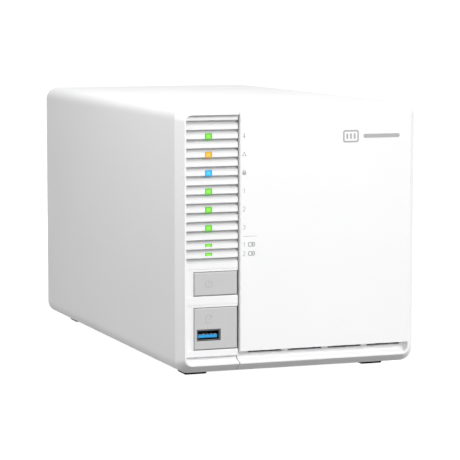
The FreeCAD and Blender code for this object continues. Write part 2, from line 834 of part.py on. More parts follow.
def power_button():
    return button_body(power_low, power_high, (power_low + power_high) / 2)


def copy_button():
    """Plate that is pressed to start a copy; the USB socket stands in its window."""
    half_w, half_h = usb_width / 2 + usb_play, usb_height / 2 + usb_play
    window = box(light_x - half_w, light_x + half_w, y_front, bezel_back, usb_z - half_h, usb_z + half_h)
    return button_body(copy_low, copy_high, copy_high - copy_switch_drop).cut(window)


def front_board():
    x0, x1 = x_left + wall + front_board_margin, seam_x - lap_in - front_board_margin
    plate = box(x0, x1, board_y, board_y + board_thick, copy_low, roof_z - front_board_top)
    return plate.cut([peg(board_hole_radius, (x, board_y - 1, z), (x, board_y + 3, z), 8)
                      for x, z in board_screw_places()])


def board_screws():
    """Screws through the front board into the bezel."""
    face = board_y + board_thick
    head_radius, head = board_screw_head
    return Part.makeCompound([
        joined(peg(head_radius, (x, face, z), (x, face + head, z)),
               peg(board_screw_radius, (x, board_y - 5, z), (x, face + 0.2, z), 8))
        for x, z in board_screw_places()])


def push_switches():
    """Switches behind the two front buttons and the reset plunger."""
    half_w, deep, half_h = switch_size[0] / 2, switch_size[1], switch_size[2] / 2
    heights = ((power_low + power_high) / 2, copy_high - copy_switch_drop)
    fronts = [box(light_x - half_w, light_x + half_w, board_y - deep, board_y, z - half_h, z + half_h)
              for z in heights]
    x, z = reset_place()
    half, thick = reset_switch[0] / 2, reset_switch[1]
    y = panel_y0 - reset_length - reset_travel - 0.15
    return Part.makeCompound(fronts + [box(x - half, main_board_x0, y - thick, y, z - half, z + half)])


# ---------------------------------------------------------------- USB sockets
def usb_parts(mouth_y, length, x, z):
    """(shell, tongue, contacts) of a socket that opens towards -Y at mouth_y."""
    hw, hh = usb_width / 2, usb_height / 2
    inner_w, inner_h = hw - usb_shell, hh - usb_shell
    end = mouth_y + length
    inner_end = end - usb_back
    shell = box(x - hw, x + hw, mouth_y, end, z - hh, z + hh)
    shell = shell.cut(box(x - inner_w, x + inner_w, mouth_y - 1, inner_end, z - inner_h, z + inner_h))
    low, front, block_y = z - inner_h + tongue_lift, mouth_y + tongue_setback, inner_end - tongue_block
    half = tongue_width / 2
    plate = box(x - half, x + half, front, block_y + 0.5, low, low + tongue_thick)
    block_w, block_h = inner_w - tongue_play, inner_h - tongue_play
    block = box(x - block_w, x + block_w, block_y, inner_end - tongue_play, z - block_h, z + block_h)
    across, along, thick = contact_size
    step = tongue_width / contact_count
    face, start = low + tongue_thick, front + contact_setback
    middles = [x - half + (i + 0.5) * step for i in range(contact_count)]
    contacts = [box(m - across / 2, m + across / 2, start, start + along, face, face + thick)
                for m in middles]
    return shell, joined(plate, block), Part.makeCompound(contacts)


def front_usb():
    return usb_parts(usb_y, board_y - usb_y, light_x, usb_z)


# ---------------------------------------------------------------- drive cage
def bay_x(k):
    return bays_x0 + k * bay_pitch


def cage_slots(k):
    """Slots in the cage's floor and roof for the tabs of the divider left of bay k."""
    length, play = sheet_tab
    x, half = bay_x(k), sheet / 2 + play
    return [box(x - half, x + half, y - play, y + length + play, 0, height) for y in divider_tabs()]


def divider_tabs():
    """Front ends of the tabs along the edges of a divider."""
    low, high = cage_y0 + tab_ends, backplane_y - tab_ends - sheet_tab[0]
    return [low, (low + high) / 2, high]


def cage_vents():
    starts = [drive_y0 + y for y in vent_starts]
    return [box(bay_x(k) + vent_side, bay_x(k + 1) - vent_side, y, y + vent_length, 0, height)
            for k in range(bay_count) for y in starts]


def cage_sheet(z):
    """Level sheet of the cage, its lower face at z, with its vents and the slots of the dividers."""
    plate = box(bays_x0, bays_x1, cage_y0 + sheet, backplane_y, z, z + sheet)
    return plate.cut(cage_vents() + [slot for k in range(1, bay_count) for slot in cage_slots(k)])


def cage_roof():
    return cage_sheet(cage_z1 - sheet)


def cage_floor():
    """Floor of the cage, and the three folded legs that carry it on the bottom of the housing."""
    y0, y1 = cage_y0 + leg_margin, backplane_y - leg_margin
    from_left, from_right = leg_sides
    legs = []
    for x in (bays_x0 + from_left, fan_x, bays_x1 - from_right):
        end = x + cage_leg
        fold = [
            (x, floor_z), (end, floor_z), (end, floor_z + sheet), (x + sheet, floor_z + sheet),
            (x + sheet, cage_z0 - sheet), (end, cage_z0 - sheet), (end, cage_z0), (x, cage_z0),
        ]
        legs.append(plate_y(fold, y0, y1).cut(cage_vents()))
    return Part.makeCompound([cage_sheet(cage_z0)] + legs)


def cage_sides():
    """Side sheets of the cage; the left one runs on to the rear and carries the main board."""
    start, half = cage_y0 + sheet, link_half + 1
    left = box(cage_x0, bays_x0, start, main_board_y1, cage_z0, cage_z1).cut(cage_windows())
    right = box(bays_x1, cage_x1, start, backplane_y, cage_z0, cage_z1).cut(cage_windows())
    notch = box(cage_x0 - 1, bays_x0 + 1, backplane_y - link_notch, backplane_y + board_thick + link_notch,
                cage_middle - half, cage_middle + half)
    return Part.makeCompound([left.cut(notch), right])


def cage_windows():
    starts = [drive_y0 + y - 2 for y in vent_starts]
    return [box(x_left, x_right, y, y + window_length, cage_z0 + window_margin, cage_z1 - window_margin)
            for y in starts]


def cage_dividers():
    """Sheets between the bays, with tabs that pass through the floor and the roof."""
    half = sheet / 2
    body = box(-half, half, cage_y0 + sheet, backplane_y, cage_z0 + sheet, cage_z1 - sheet)
    tabs = [box(-half, half, y, y + sheet_tab[0], cage_z0, cage_z1) for y in divider_tabs()]
    divider = joined(body, *tabs).cut(cage_windows())
    return Part.makeCompound([moved(divider, x=bay_x(k)) for k in range(1, bay_count)])


def cage_flange():
    """Front sheet of the cage with the three bay openings and the air slots under them."""
    back = cage_y0 + sheet
    plate = prism(shell_outline(wall + flange_play, cage_y0), sheet)
    plate = plate.common(box(cage_x0, x_right, cage_y0, back, z_low, z_high))
    low, high = tray_z0 - bay_margin, tray_z1 + bay_margin
    cuts = [box(bay_x(k) + sheet / 2, bay_x(k + 1) - sheet / 2, cage_y0 - 1, back + 1, low, high)
            for k in range(bay_count)]
    pitch = (bays_x1 - bays_x0) / (air_count + 1)
    starts = [bays_x0 + (i + 1 - air_share / 2) * pitch for i in range(air_count)]
    cuts += [box(x, x + air_share * pitch, cage_y0 - 1, back + 1, floor_z + air_margin, cage_z0 - air_margin)
             for x in starts]
    return plate.cut(cuts)


def guide_rails():
    """Plastic channels on the floor and under the roof of each bay."""
    rails = []
    y0, y1 = tray_y + tray_front + 0.5, backplane_y - 4
    for k in range(bay_count):
        side = sheet / 2 + guide_seat
        x0 = bay_x(k) + side
        x1 = bay_x(k + 1) - (guide_seat if k == bay_count - 1 else side)
        keel_x0, keel_x1 = keel_sides(k)
        base = box(x0, x1, y0, y1, guide_z0, tray_z0 - guide_play)
        lips = [box(x, x + guide_width, y0, y1, guide_z0, tray_z0 + guide_lip)
                for x in (keel_x0 - guide_play - guide_width, keel_x1 + guide_play)]
        lower = joined(base, *lips).cut(cage_vents())
        rails += [lower, lower.mirror(V(0, 0, cage_middle), V(0, 0, 1))]
    return Part.makeCompound(rails)


def keel_sides(k):
    """Sides of the keel of a tray's runner, which the guide rails embrace."""
    middle = (bay_x(k) + bay_x(k + 1)) / 2
    return middle - keel_width / 2, middle + keel_width / 2


# ---------------------------------------------------------------- trays, drives, levers
def drive_x(k):
    return bay_x(k) + tray_play + tray_floor


def tray_sides(k):
    """Left and right side of a tray."""
    return bay_x(k) + tray_play, bay_x(k + 1) - tray_play


def tray_middle(k):
    return sum(tray_sides(k)) / 2


def release_z():
    """Middle of the release button, above the tip of the lever."""
    return pivot_z + lever_length + release_lift + release_size[1] / 2


def tray(k):
    """Tray with a pierced floor beside the drive, two runners and a vented front."""
    x0, x1 = tray_sides(k)
    y0, back = tray_y + tray_front, drive_y1 - tray_stop
    low, high = tray_z0 + runner_thick, tray_z1 - runner_thick
    keel_low, keel_high = tray_z0 + keel_height, tray_z1 - keel_height
    keel_x0, keel_x1 = keel_sides(k)
    floor = box(x0, x0 + tray_floor - 0.2, y0, back, keel_low, keel_high)
    length, edge = tray_window
    windows = [box(x0 - 1, x0 + tray_floor, drive_y0 + y, drive_y0 + y + length,
                   tray_z0 + edge, tray_z1 - edge) for y in tray_windows]
    x2 = drive_x(k) + drive_thick
    runners = [box(x0, x2, y0, back, *span) for span in ((keel_low, low), (high, keel_high))]
    keels = [box(keel_x0, keel_x1, y0, back, *span) for span in ((tray_z0, low), (high, tray_z1))]
    face = bevelled_plate(x0, x1, tray_y, y0, tray_z0, tray_z1, tray_bevel)
    middle, side = tray_middle(k), lever_width / 2 + lug_gap
    lugs = [box(x, x + lug_thick, lever_y, tray_y + 0.2, pivot_z - lug_half, pivot_z + lug_half)
            for x in (middle - side - lug_thick, middle + side)]
    body = joined(floor.cut(windows), *runners, *keels, face, *lugs)
    pin = rod(lever_pin_radius + lever_pin_play, (x0, pivot_y, pivot_z), (x1, pivot_y, pivot_z))
    across, tall = slit_size
    starts = [pivot_z + slit_start + slit_pitch * i for i in range(slit_count)]
    slits = [box(middle - across / 2, middle + across / 2, tray_y - 1, y0 + 1, z, z + tall) for z in starts]
    half_w, half_h = [size / 2 + release_play for size in release_size]
    z = release_z()
    well = box(middle - half_w, middle + half_w, tray_y - 1, y0 + 1, z - half_h, z + half_h)
    return body.cut([pin, well] + slits)


def tray_lever(k):
    """Lever that swings forward about its lower end to draw the tray out."""
    middle, half, back = tray_middle(k), lever_width / 2, lever_y + lever_thick
    x0, x1, top = middle - half, middle + half, pivot_z + lever_length
    arm = bevelled_plate(x0, x1, lever_y, back, pivot_z, top, lever_bevel)
    left, right = x0 + lever_rim, x1 - lever_rim
    start, end = pivot_z + lever_window[0], top - lever_window[1]
    window = bevelled_plate(left, right, lever_y - 1, back + 1, start, end, tray_bevel)
    grip_z = top - grip_drop
    grip = peg(grip_radius, (left, lever_y - 0.3, grip_z), (right, lever_y - 0.3, grip_z), 8)
    pitch = (end - start - lever_slat) / (lever_slats + 1)
    lifts = [start + pitch * (i + 1) for i in range(lever_slats)]
    slats = [box(left - 1, right + 1, lever_y + lever_slat_inset, back - lever_slat_inset, z, z + lever_slat)
             for z in lifts]
    root = box(x0, x1, lever_y, pivot_y + 0.4, pivot_z, pivot_z + lever_root)
    barrel = peg(lever_thick / 2, (x0, pivot_y, pivot_z), (x1, pivot_y, pivot_z), 16)
    pins = rod(lever_pin_radius, (x0 - lug_thick, pivot_y, pivot_z), (x1 + lug_thick, pivot_y, pivot_z))
    return joined(arm.cut([window, grip]), root, barrel, pins, *slats)


def tray_release(k):
    """Push button that frees the tip of the lever."""
    middle, z, back = tray_middle(k), release_z(), tray_y + tray_front
    half_w, half_h = release_size[0] / 2, release_size[1] / 2
    cap = bevelled_plate(middle - half_w, middle + half_w, tray_y - release_travel - 0.1, back,
                         z - half_h, z + half_h, tray_bevel)
    wide, deep, tall = release_stem
    return joined(cap, box(middle - wide / 2, middle + wide / 2, back - 0.2, back + deep,
                           z - tall / 2, z + tall / 2))


def hard_drive(k):
    """3.5 inch drive standing on its long edge, its board towards the tray floor."""
    x0, z0 = drive_x(k), drive_z0
    x1, z1 = x0 + drive_thick, z0 + drive_width
    body = box(x0, x1, drive_y0, drive_y1, z0, z1)
    body = body.makeChamfer(drive_bevel, [e for e in body.Edges if e.BoundBox.YLength > drive_length - 0.01])
    step, start, length, tall = lid_notch
    cuts = [box(x1 - step, x1 + 1, drive_y0 + start, drive_y0 + start + length, z0 + z, z0 + z + tall)
            for z in lid_notches]
    cuts.append(box(x0 - 1, x0 + drive_board_seat, drive_y0 + drive_board_start, drive_y1 + 1,
                    z0 + drive_board_margin, z1 - drive_board_margin))
    across, along, tall = plug_bay
    cuts.append(box(x0 - 1, x0 + across, drive_y1 - along, drive_y1 + 1,
                    z0 + plug_lift, z0 + plug_lift + tall))
    x = x0 + drive_hole_lift
    reach = drive_hole_depth
    cuts += [peg(drive_hole_radius, (x, drive_y0 + y, z - reach), (x, drive_y0 + y, z + reach), 8)
             for y in drive_holes for z in (z0, z1)]
    return body.cut(cuts)


def drive_board(k):
    x1, edge = drive_x(k) + drive_board_seat - 0.05, drive_board_margin + 0.5
    return box(x1 - drive_board_thick, x1, drive_y0 + drive_board_start + 0.5, drive_y1 - plug_bay[1] - 0.2,
               drive_z0 + edge, drive_z0 + drive_width - edge)


def drive_clips(k):
    """Snap-on strips that hold the drive by pins in its side holes."""
    x, z = drive_x(k) + drive_hole_lift, tray_z0 + runner_thick + clip_play
    top, (start, end) = z + clip_thick, clip_ends
    strip = box(x - clip_half, x + clip_half, drive_y0 + start, drive_y0 + end, z, top)
    pins = [peg(clip_pin_radius, (x, drive_y0 + y, top - 0.1), (x, drive_y0 + y, top + clip_pin_length), 8)
            for y in drive_holes]
    strip = joined(strip, *pins)
    return Part.makeCompound([strip, strip.mirror(V(0, 0, cage_middle), V(0, 0, 1))])


# ---------------------------------------------------------------- boards
def backplane_board():
    """Board across the rear of the cage, with air windows between the drive sockets."""
    back, half = backplane_y + board_thick, link_half - 1
    plate = box(bays_x0, cage_x1, backplane_y, back, cage_z0, cage_z1)
    edge = box(cage_x0 - link_reach, bays_x0, backplane_y, back, cage_middle - half, cage_middle + half)
    left, right, tall = plane_window
    lifts = (cage_z0 + plane_window_lift, cage_z1 - plane_window_lift - tall)
    windows = [box(bay_x(k) + left, bay_x(k + 1) - right, backplane_y - 1, back + 1, z, z + tall)
               for k in range(bay_count) for z in lifts]
    return joined(plate.cut(windows), edge)


def sata_sockets():
    """One upright drive socket per bay, reaching into the recess of its drive."""
    across, _, tall = plug_bay
    base_half, key_half, slot_half, reach = plug_base / 2, plug_key / 2, plug_slot / 2, plug_reach
    sockets = []
    for k in range(bay_count):
        x, low, high = drive_x(k) + across / 2, drive_z0 + plug_lift, drive_z0 + plug_lift + tall
        base = box(x - base_half, x + base_half, drive_y1 + 0.6, backplane_y, low - 1, high + 1)
        key = box(x - key_half, x + key_half, drive_y1 - reach, drive_y1 + 1, low + 1, high - 1)
        slot = box(x - slot_half, x + slot_half, drive_y1 - reach - 1, drive_y1 + 2, low + 3, high - 3)
        sockets.append(joined(base, key).cut(slot))
    return Part.makeCompound(sockets)


def main_board():
    z0 = main_board_z0
    plate = box(main_board_x0, main_board_x1, main_board_y0, main_board_y1, z0, z0 + main_board_height)
    return plate.cut([peg(standoff_screw + 0.2, (main_board_x0 - 1, y, z), (main_board_x1 + 1, y, z), 8)
                      for y, z in standoff_places()])


def standoff_places():
    middle = (main_board_y0 + main_board_y1) / 2
    ys = (main_board_y0 + standoff_inset, middle, main_board_y1 - standoff_rear)
    zs = (main_board_z0 + standoff_inset, main_board_z0 + main_board_height - standoff_inset)
    return [(y, z) for y in ys for z in zs]


def board_standoffs():
    """Threaded spacers between the cage and the main board, each with its screw."""
    x0, x1 = main_board_x0, main_board_x1
    return Part.makeCompound([
        joined(peg(standoff_radius, (x1, y, z), (cage_x0, y, z), 6),
               peg(standoff_screw, (x0 - 0.1, y, z), (x1 + 0.1, y, z), 8),
               peg(standoff_radius, (x0 - standoff_head, y, z), (x0, y, z), 8))
        for y, z in standoff_places()])


def heat_sink():
    """Extruded aluminium sink with upright fins, on the processor."""
    (to_rear, lift), (length, tall), (fin, thick) = sink_place, sink_size, sink_fin
    across, inset, chip = processor
    y0, z0, x1 = main_board_y1 - to_rear, main_board_z0 + lift, main_board_x0 - chip
    x0 = x1 - sink_base
    starts = [y0 + i * (length - thick) / (sink_fins - 1) for i in range(sink_fins)]
    fins = [box(x0 - fin, x0 + 0.1, y, y + thick, z0, z0 + tall) for y in starts]
    core = box(x1, main_board_x0, y0 + inset, y0 + inset + across, z0 + inset, z0 + inset + across)
    return joined(box(x0, x1, y0, y0 + length, z0, z0 + tall), core, *fins)


def memory_corner():
    """Front lower corner (y, z) of the memory socket."""
    return main_board_y0 + memory_place[0], main_board_z0 + memory_place[1]


def memory_socket():
    """Socket across the front of the module, with an arm along each of its sides."""
    y0, z0 = memory_corner()
    tall, along = memory_socket_size
    thick, half = memory_board[0], memory_board[2] / 2 + 0.3
    face, middle, end = main_board_x0 - memory_board_lift, z0 + memory_height / 2, y0 + along
    body = box(main_board_x0 - tall, main_board_x0, y0, end, z0, z0 + memory_height)
    slot = box(face - thick - 0.1, face + 0.1, y0 + memory_seat - 0.5, end + 0.5,
               middle - half, middle + half)
    length, arm = memory_arm
    arms = [box(main_board_x0 - tall + 0.6, main_board_x0, end - 0.5, end + length, z, z + arm)
            for z in (z0, z0 + memory_height - arm)]
    return joined(body, *arms).cut(slot)


def memory_module():
    """Memory module lying over the board, with its chips."""
    y0, z0 = memory_corner()
    thick, length, wide = memory_board
    count, pitch, along, tall, chip = memory_chips
    x0, y0, middle = main_board_x0 - memory_board_lift - thick, y0 + memory_seat, z0 + memory_height / 2
    starts = [middle + (i - (count - 1) / 2) * pitch - tall / 2 for i in range(count)]
    y1 = y0 + memory_chip_start
    chips = [box(x0 - chip, x0 + 0.1, y1, y1 + along, z, z + tall) for z in starts]
    return joined(box(x0, x0 + thick, y0, y0 + length, middle - wide / 2, middle + wide / 2), *chips)


def ssd_places():
    """Front end and middle height (y, z) of the two M.2 modules, one above the other."""
    return [(main_board_y1 - ssd_front, main_board_z0 + lift) for lift in ssd_lifts]


def ssd_sockets():
    """Socket at the front of each module and the post at its rear end."""
    tall, deep, wide = ssd_socket
    thick, length, board_wide = ssd_board
    face, half, slot_half = main_board_x0 - ssd_board_lift, wide / 2, board_wide / 2 + 0.2
    parts = []
    for y, z in ssd_places():
        end = y + ssd_seat
        body = box(main_board_x0 - tall, main_board_x0, end - deep, end, z - half, z + half)
        slot = box(face - thick - 0.2, face + 0.2, y - 0.5, end + 1, z - slot_half, z + slot_half)
        parts.append(body.cut(slot))
        parts.append(peg(ssd_post, (face + 0.1, y + length, z), (main_board_x0, y + length, z)))
    return parts


def ssd_modules():
    thick, length, wide = ssd_board
    along, across, chip = ssd_chip
    x0 = main_board_x0 - ssd_board_lift - thick
    parts = []
    for y, z in ssd_places():
        board = box(x0, x0 + thick, y, y + length, z - wide / 2, z + wide / 2)
        chips = [box(x0 - chip, x0 + 0.1, y + start, y + start + along, z - across / 2, z + across / 2)
                 for start in ssd_chips]
        notch = peg(ssd_post + 0.3, (x0 - 5, y + length, z), (main_board_x0, y + length, z))
        parts.append(joined(board, *chips).cut(notch))
    return Part.makeCompound(parts)


def coin_middle():
    return main_board_y1 - coin_place[0], main_board_z0 + coin_place[1]


def coin_cell():
    (y, z), x = coin_middle(), main_board_x0 - coin_lift
    return peg(coin_radius, (x - coin_thick, y, z), (x, y, z), 32)


def coin_holder():
    """Square frame with a round pocket for the cell."""
    (y, z), x, half = coin_middle(), main_board_x0 - coin_lift, coin_radius + coin_wall
    frame = box(x - 0.75 * coin_thick, main_board_x0, y - half, y + half, z - half, z + half)
    return frame.cut(peg(coin_radius + 0.15, (x - coin_thick, y, z), (x + 0.1, y, z), 32))


def board_link():
    """Connector that joins the backplane's edge to the main board."""
    back, low, high = backplane_y + board_thick, cage_middle - link_half, cage_middle + link_half
    body = box(main_board_x1, bays_x0 - 0.1, backplane_y - link_depth, back + link_depth, low, high)
    return body.cut(box(cage_x0 - link_reach - 0.2, bays_x0 + 1, backplane_y - 0.1, back + 0.1,
                        low + link_wall, high - link_wall))


# ---------------------------------------------------------------- rear sockets
def power_place():
    return main_board_x0 - power_body[0] / 2, main_board_z0 + power_lift + power_body[1] / 2


def power_socket():
    """Barrel jack for the external supply, with its centre pin."""
    x, z = power_place()
    start, half_w, half_h = port_tip - power_body[2], power_body[0] / 2, power_body[1] / 2
    body = box(x - half_w, x + half_w, start, panel_y0 - panel_play, z - half_h, z + half_h)
    body = body.fuse(peg(power_radius, (x, start, z), (x, port_tip, z), 24))
    body = body.cut(peg(power_radius - power_wall, (x, port_tip - power_depth, z), (x, port_tip + 1, z), 24))
    return joined(body, peg(power_pin, (x, port_tip - power_depth - 0.2, z), (x, port_tip - 1, z), 8))


def lan_socket():
    """Network jack with the steps for the latch of its plug."""
    tall, wide, deep = lan_size
    back, side = lan_wall
    x0, z = main_board_x0 - tall, main_board_z0 + lan_lift
    body = box(x0, main_board_x0, port_tip - deep, port_tip, z, z + wide)
    start, end = x0 + back, x0 + back + lan_bay
    cuts = [box(start, end, port_tip - lan_depth, port_tip + 1, z + side, z + wide - side)]
    for reach, margin in lan_steps:
        cuts.append(box(end - 0.1, end + reach, port_tip - lan_depth, port_tip + 1,
                        z + margin, z + wide - margin))
        end += reach
    return body.cut(cuts)


def hdmi_outline(inset):
    """Outline of the video socket, the corners towards the board cut off."""
    tall, wide, _ = hdmi_size
    across, along = hdmi_corner
    x1 = main_board_x0 - hdmi_stand - inset
    x0 = x1 - tall + 2 * inset
    z0, z1 = main_board_z0 + hdmi_lift + inset, main_board_z0 + hdmi_lift + wide - inset
    return [(x0, z0), (x0, z1), (x1 - across, z1), (x1, z1 - along), (x1, z0 + along), (x1 - across, z0)]


def hdmi_socket():
    """Type A video socket: bevelled sheet shell with a flat tongue."""
    tall, wide, deep = hdmi_size
    thick, side, setback = hdmi_tongue
    y0, x, z = port_tip - deep, main_board_x0 - hdmi_stand - tall / 2, main_board_z0 + hdmi_lift
    shell = plate_y(hdmi_outline(0), y0, port_tip).cut(plate_y(hdmi_outline(hdmi_wall), y0 + 1, port_tip + 1))
    tongue = box(x - thick / 2, x + thick / 2, y0 + 0.5, port_tip - setback, z + side, z + wide - side)
    return joined(shell, tongue)


def rear_usb():
    """(shells, tongues) of the rear USB sockets, standing on edge on the main board."""
    shells, tongues = [], []
    for lift in rear_usb_lifts:
        shell, tongue, _ = usb_parts(0.0, rear_usb_length, 0.0, 0.0)
        for part, target in ((shell, shells), (tongue, tongues)):
            part.rotate(V(0, 0, 0), V(0, 0, 1), 180)
            part.rotate(V(0, 0, 0), V(0, 1, 0), 90)
            x, z = main_board_x0 - usb_height / 2 - rear_usb_stand, main_board_z0 + lift + usb_width / 2
            target.append(moved(part, x, port_tip, z))
    return Part.makeCompound(shells), Part.makeCompound(tongues)


def reset_place():
    return main_board_x0 - reset_off_board, main_board_z0 + reset_lift


def reset_button():
    """Recessed plunger that a pin reaches through the rear panel."""
    x, z = reset_place()
    radius, thick = reset_flange
    start = panel_y0 - reset_length
    tip = peg(reset_radius, (x, start + 0.4, z), (x, panel_y0 - reset_setback, z))
    return joined(tip, peg(radius, (x, start, z), (x, start + thick, z)))


# ---------------------------------------------------------------- fan and rear panel
def fan_corners():
    half = fan_hole_spacing / 2
    return [(fan_x + sx * half, fan_z + sz * half) for sx in (-1, 1) for sz in (-1, 1)]


def fan_rod(radius, start, end, sides=0):
    """Rod or peg on the axis of the fan."""
    ends = (fan_x, start, fan_z), (fan_x, end, fan_z)
    return peg(radius, *ends, sides) if sides else rod(radius, *ends)


def fan_frame():
    """Fan housing: two square flanges on a round duct, struts and the bearing tube."""
    half, y1 = fan_size / 2, fan_y0 + fan_depth
    flanges = [bevelled_plate(fan_x - half, fan_x + half, y, y + fan_flange, fan_z - half, fan_z + half,
                              fan_corner_bevel) for y in (fan_y0, y1 - fan_flange)]
    body = joined(fan_rod(fan_bore_radius + fan_duct_wall, fan_y0, y1, duct_sides), *flanges)
    cuts = [fan_rod(fan_bore_radius, fan_y0 - 1, y1 + 1, duct_sides)]
    cuts += [peg(fan_hole_radius, (x, fan_y0 - 1, z), (x, y1 + 1, z), 8) for x, z in fan_corners()]
    radius, thick = fan_mount
    mount = fan_rod(radius, y1 - thick, y1, 24)
    tube = fan_rod(fan_tube_radius, fan_y0 + fan_tube_start, y1 - thick + 0.2, 12)
    wide, strut_thick = fan_strut
    struts = []
    for angle in fan_strut_angles:
        strut = box(fan_x + radius - 2, fan_x + fan_bore_radius + 0.4, y1 - strut_thick - 0.2, y1 - 0.2,
                    fan_z - wide / 2, fan_z + wide / 2)
        strut.rotate(V(fan_x, y1, fan_z), V(0, 1, 0), angle)
        struts.append(strut)
    bearing = fan_rod(fan_shaft_radius + fan_shaft_play, fan_y0 + fan_tube_start - 1, y1 - fan_bearing_end)
    return joined(body.cut(cuts), mount, tube, *struts).cut(bearing)


def blade_station(radius, chord, pitch, camber):
    """Corners of a blade where it crosses the cylinder of the radius: its front, then its back."""
    slope = math.radians(pitch)
    corners = []
    for lift in (0.0, blade_thick):
        for i in range(blade_strips + 1):
            t = 2.0 * i / blade_strips - 1
            along, off = t * chord / 2, camber * (1 - t * t) + lift
            turn = (along * math.cos(slope) - off * math.sin(slope)) / radius
            y = along * math.sin(slope) + off * math.cos(slope)
            corners.append(V(radius * math.sin(turn), y, radius * math.cos(turn)))
    half = blade_strips + 1
    return corners[:half] + corners[half:][::-1]


def fan_blade():
    """Cambered blade, twisted from its root to its tip, out of flat facets."""
    inner, outer = fan_hub_radius - 0.8, fan_bore_radius - fan_tip_gap
    stations = []
    for share in (0.0, 0.5, 1.0):
        shape = [root + (tip - root) * share for root, tip in zip(blade_root, blade_tip)]
        stations.append(blade_station(inner + (outer - inner) * share, *shape))
    count = len(stations[0])
    corners = []
    for near, far in zip(stations, stations[1:]):
        for i in range(count):
            j = (i + 1) % count
            corners += [(near[i], near[j], far[j]), (near[i], far[j], far[i])]
    for ring in (stations[0], stations[-1]):
        for i in range(blade_strips):
            front, back = (ring[i], ring[i + 1]), (ring[count - 2 - i], ring[count - 1 - i])
            corners += [(*front, back[0]), (front[0], *back)]
    facets = [Part.Face(Part.makePolygon([*points, points[0]])) for points in corners]
    blade = Part.makeSolid(Part.makeShell(facets))
    if blade.Volume < 0:
        blade.reverse()
    return blade


def fan_rotor():
    """Hub cup with its shaft and twisted blades."""
    y1 = fan_y0 + fan_depth
    front, rear = fan_y0 + fan_hub_ends[0], y1 - fan_hub_ends[1]
    hub = fan_rod(fan_hub_radius, front, rear, duct_sides)
    hub = hub.cut(fan_rod(fan_hub_radius - fan_hub_wall, front + 2, y1, duct_sides))
    shaft = fan_rod(fan_shaft_radius, front + 1.8, y1 - fan_bearing_end - 0.4)
    blades = []
    for i in range(fan_blades):
        part = fan_blade()
        part.rotate(V(0, 0, 0), V(0, 1, 0), i * 360.0 / fan_blades)
        blades.append(moved(part, fan_x, fan_y0 + blade_middle, fan_z))
    return joined(hub, shaft, *blades)


def grille_places():
    """Middle of every hexagonal hole of the fan grille."""
    pitch = grille_hex + grille_web
    row = pitch * math.sqrt(3) / 2
    reach = fan_bore_radius - grille_hex / math.sqrt(3)
    rows = int(reach / row)
    places = []
    for j in range(-rows, rows + 1):
        shift = pitch / 2 if j % 2 else 0.0
        for i in range(-rows - 2, rows + 3):
            x, z = i * pitch + shift, j * row
            if math.hypot(x, z) <= reach:
                places.append((fan_x + x, fan_z + z))
    return places


def socket_cutouts():
    """(width, height, lower z) of the panel's openings for the sockets along the board's edge."""
    sockets = [(usb_height + rear_usb_stand, usb_width, lift) for lift in rear_usb_lifts]
    sockets.append((lan_size[0], lan_size[1], lan_lift))
    return sockets + [(hdmi_size[0] + hdmi_stand, hdmi_size[1], hdmi_lift)]


def rear_panel():
    """Steel panel with the fan grille and the socket cut-outs."""
    y0, y1 = panel_y0 - 1, panel_y1 + 1
    hole = lambda radius, place, sides: peg(radius, (place[0], y0, place[1]), (place[0], y1, place[1]), sides)
    cuts = [hole(grille_hex / math.sqrt(3), place, 6) for place in grille_places()]
    cuts += [hole(power_radius + 0.3, power_place(), 24), hole(reset_radius + 0.3, reset_place(), 12)]
    for wide, tall, lift in socket_cutouts():
        z = main_board_z0 + lift
        cuts.append(box(main_board_x0 - wide - port_margin, main_board_x0 + port_margin, y0, y1,
                        z - port_margin, z + tall + port_margin))
    x, top = x_left + lock_place[0], roof_z - lock_place[1]
    cuts.append(bevelled_plate(x, x + lock_slot[0], y0, y1, top - lock_slot[1], top, 1.0))
    cuts += [hole(fan_hole_radius, place, 8) for place in fan_corners()]
    cuts += [hole(screw_radius + screw_play, place, 8) for place in boss_places()]
    cuts += [hole(screw_radius + thread_play, (cover_screw_x, z), 8) for z in cover_screw_heights()]
    return prism(shell_outline(wall + panel_play, panel_y0), sheet).cut(cuts)


def screw(x, z, face_y, shank, length):
    """Pan-head screw driven towards -Y, its head on the plane at face_y."""
    head = peg(screw_head_radius, (x, face_y, z), (x, face_y + screw_head, z))
    return joined(head, peg(shank, (x, face_y - length, z), (x, face_y + 0.2, z), 8))


def rear_screws():
    """Screws of the rear panel, of the fan and of the left cover's tabs."""
    fan_screw_radius, fan_screw_length = fan_screw
    screws = [screw(x, z, panel_y1, screw_radius, screw_length) for x, z in boss_places()]
    screws += [screw(x, z, panel_y1, fan_screw_radius, fan_screw_length) for x, z in fan_corners()]
    screws += [screw(cover_screw_x, z, panel_y1 + tab_thick, screw_radius, cover_screw_length)
               for z in cover_screw_heights()]
    return Part.makeCompound(screws)


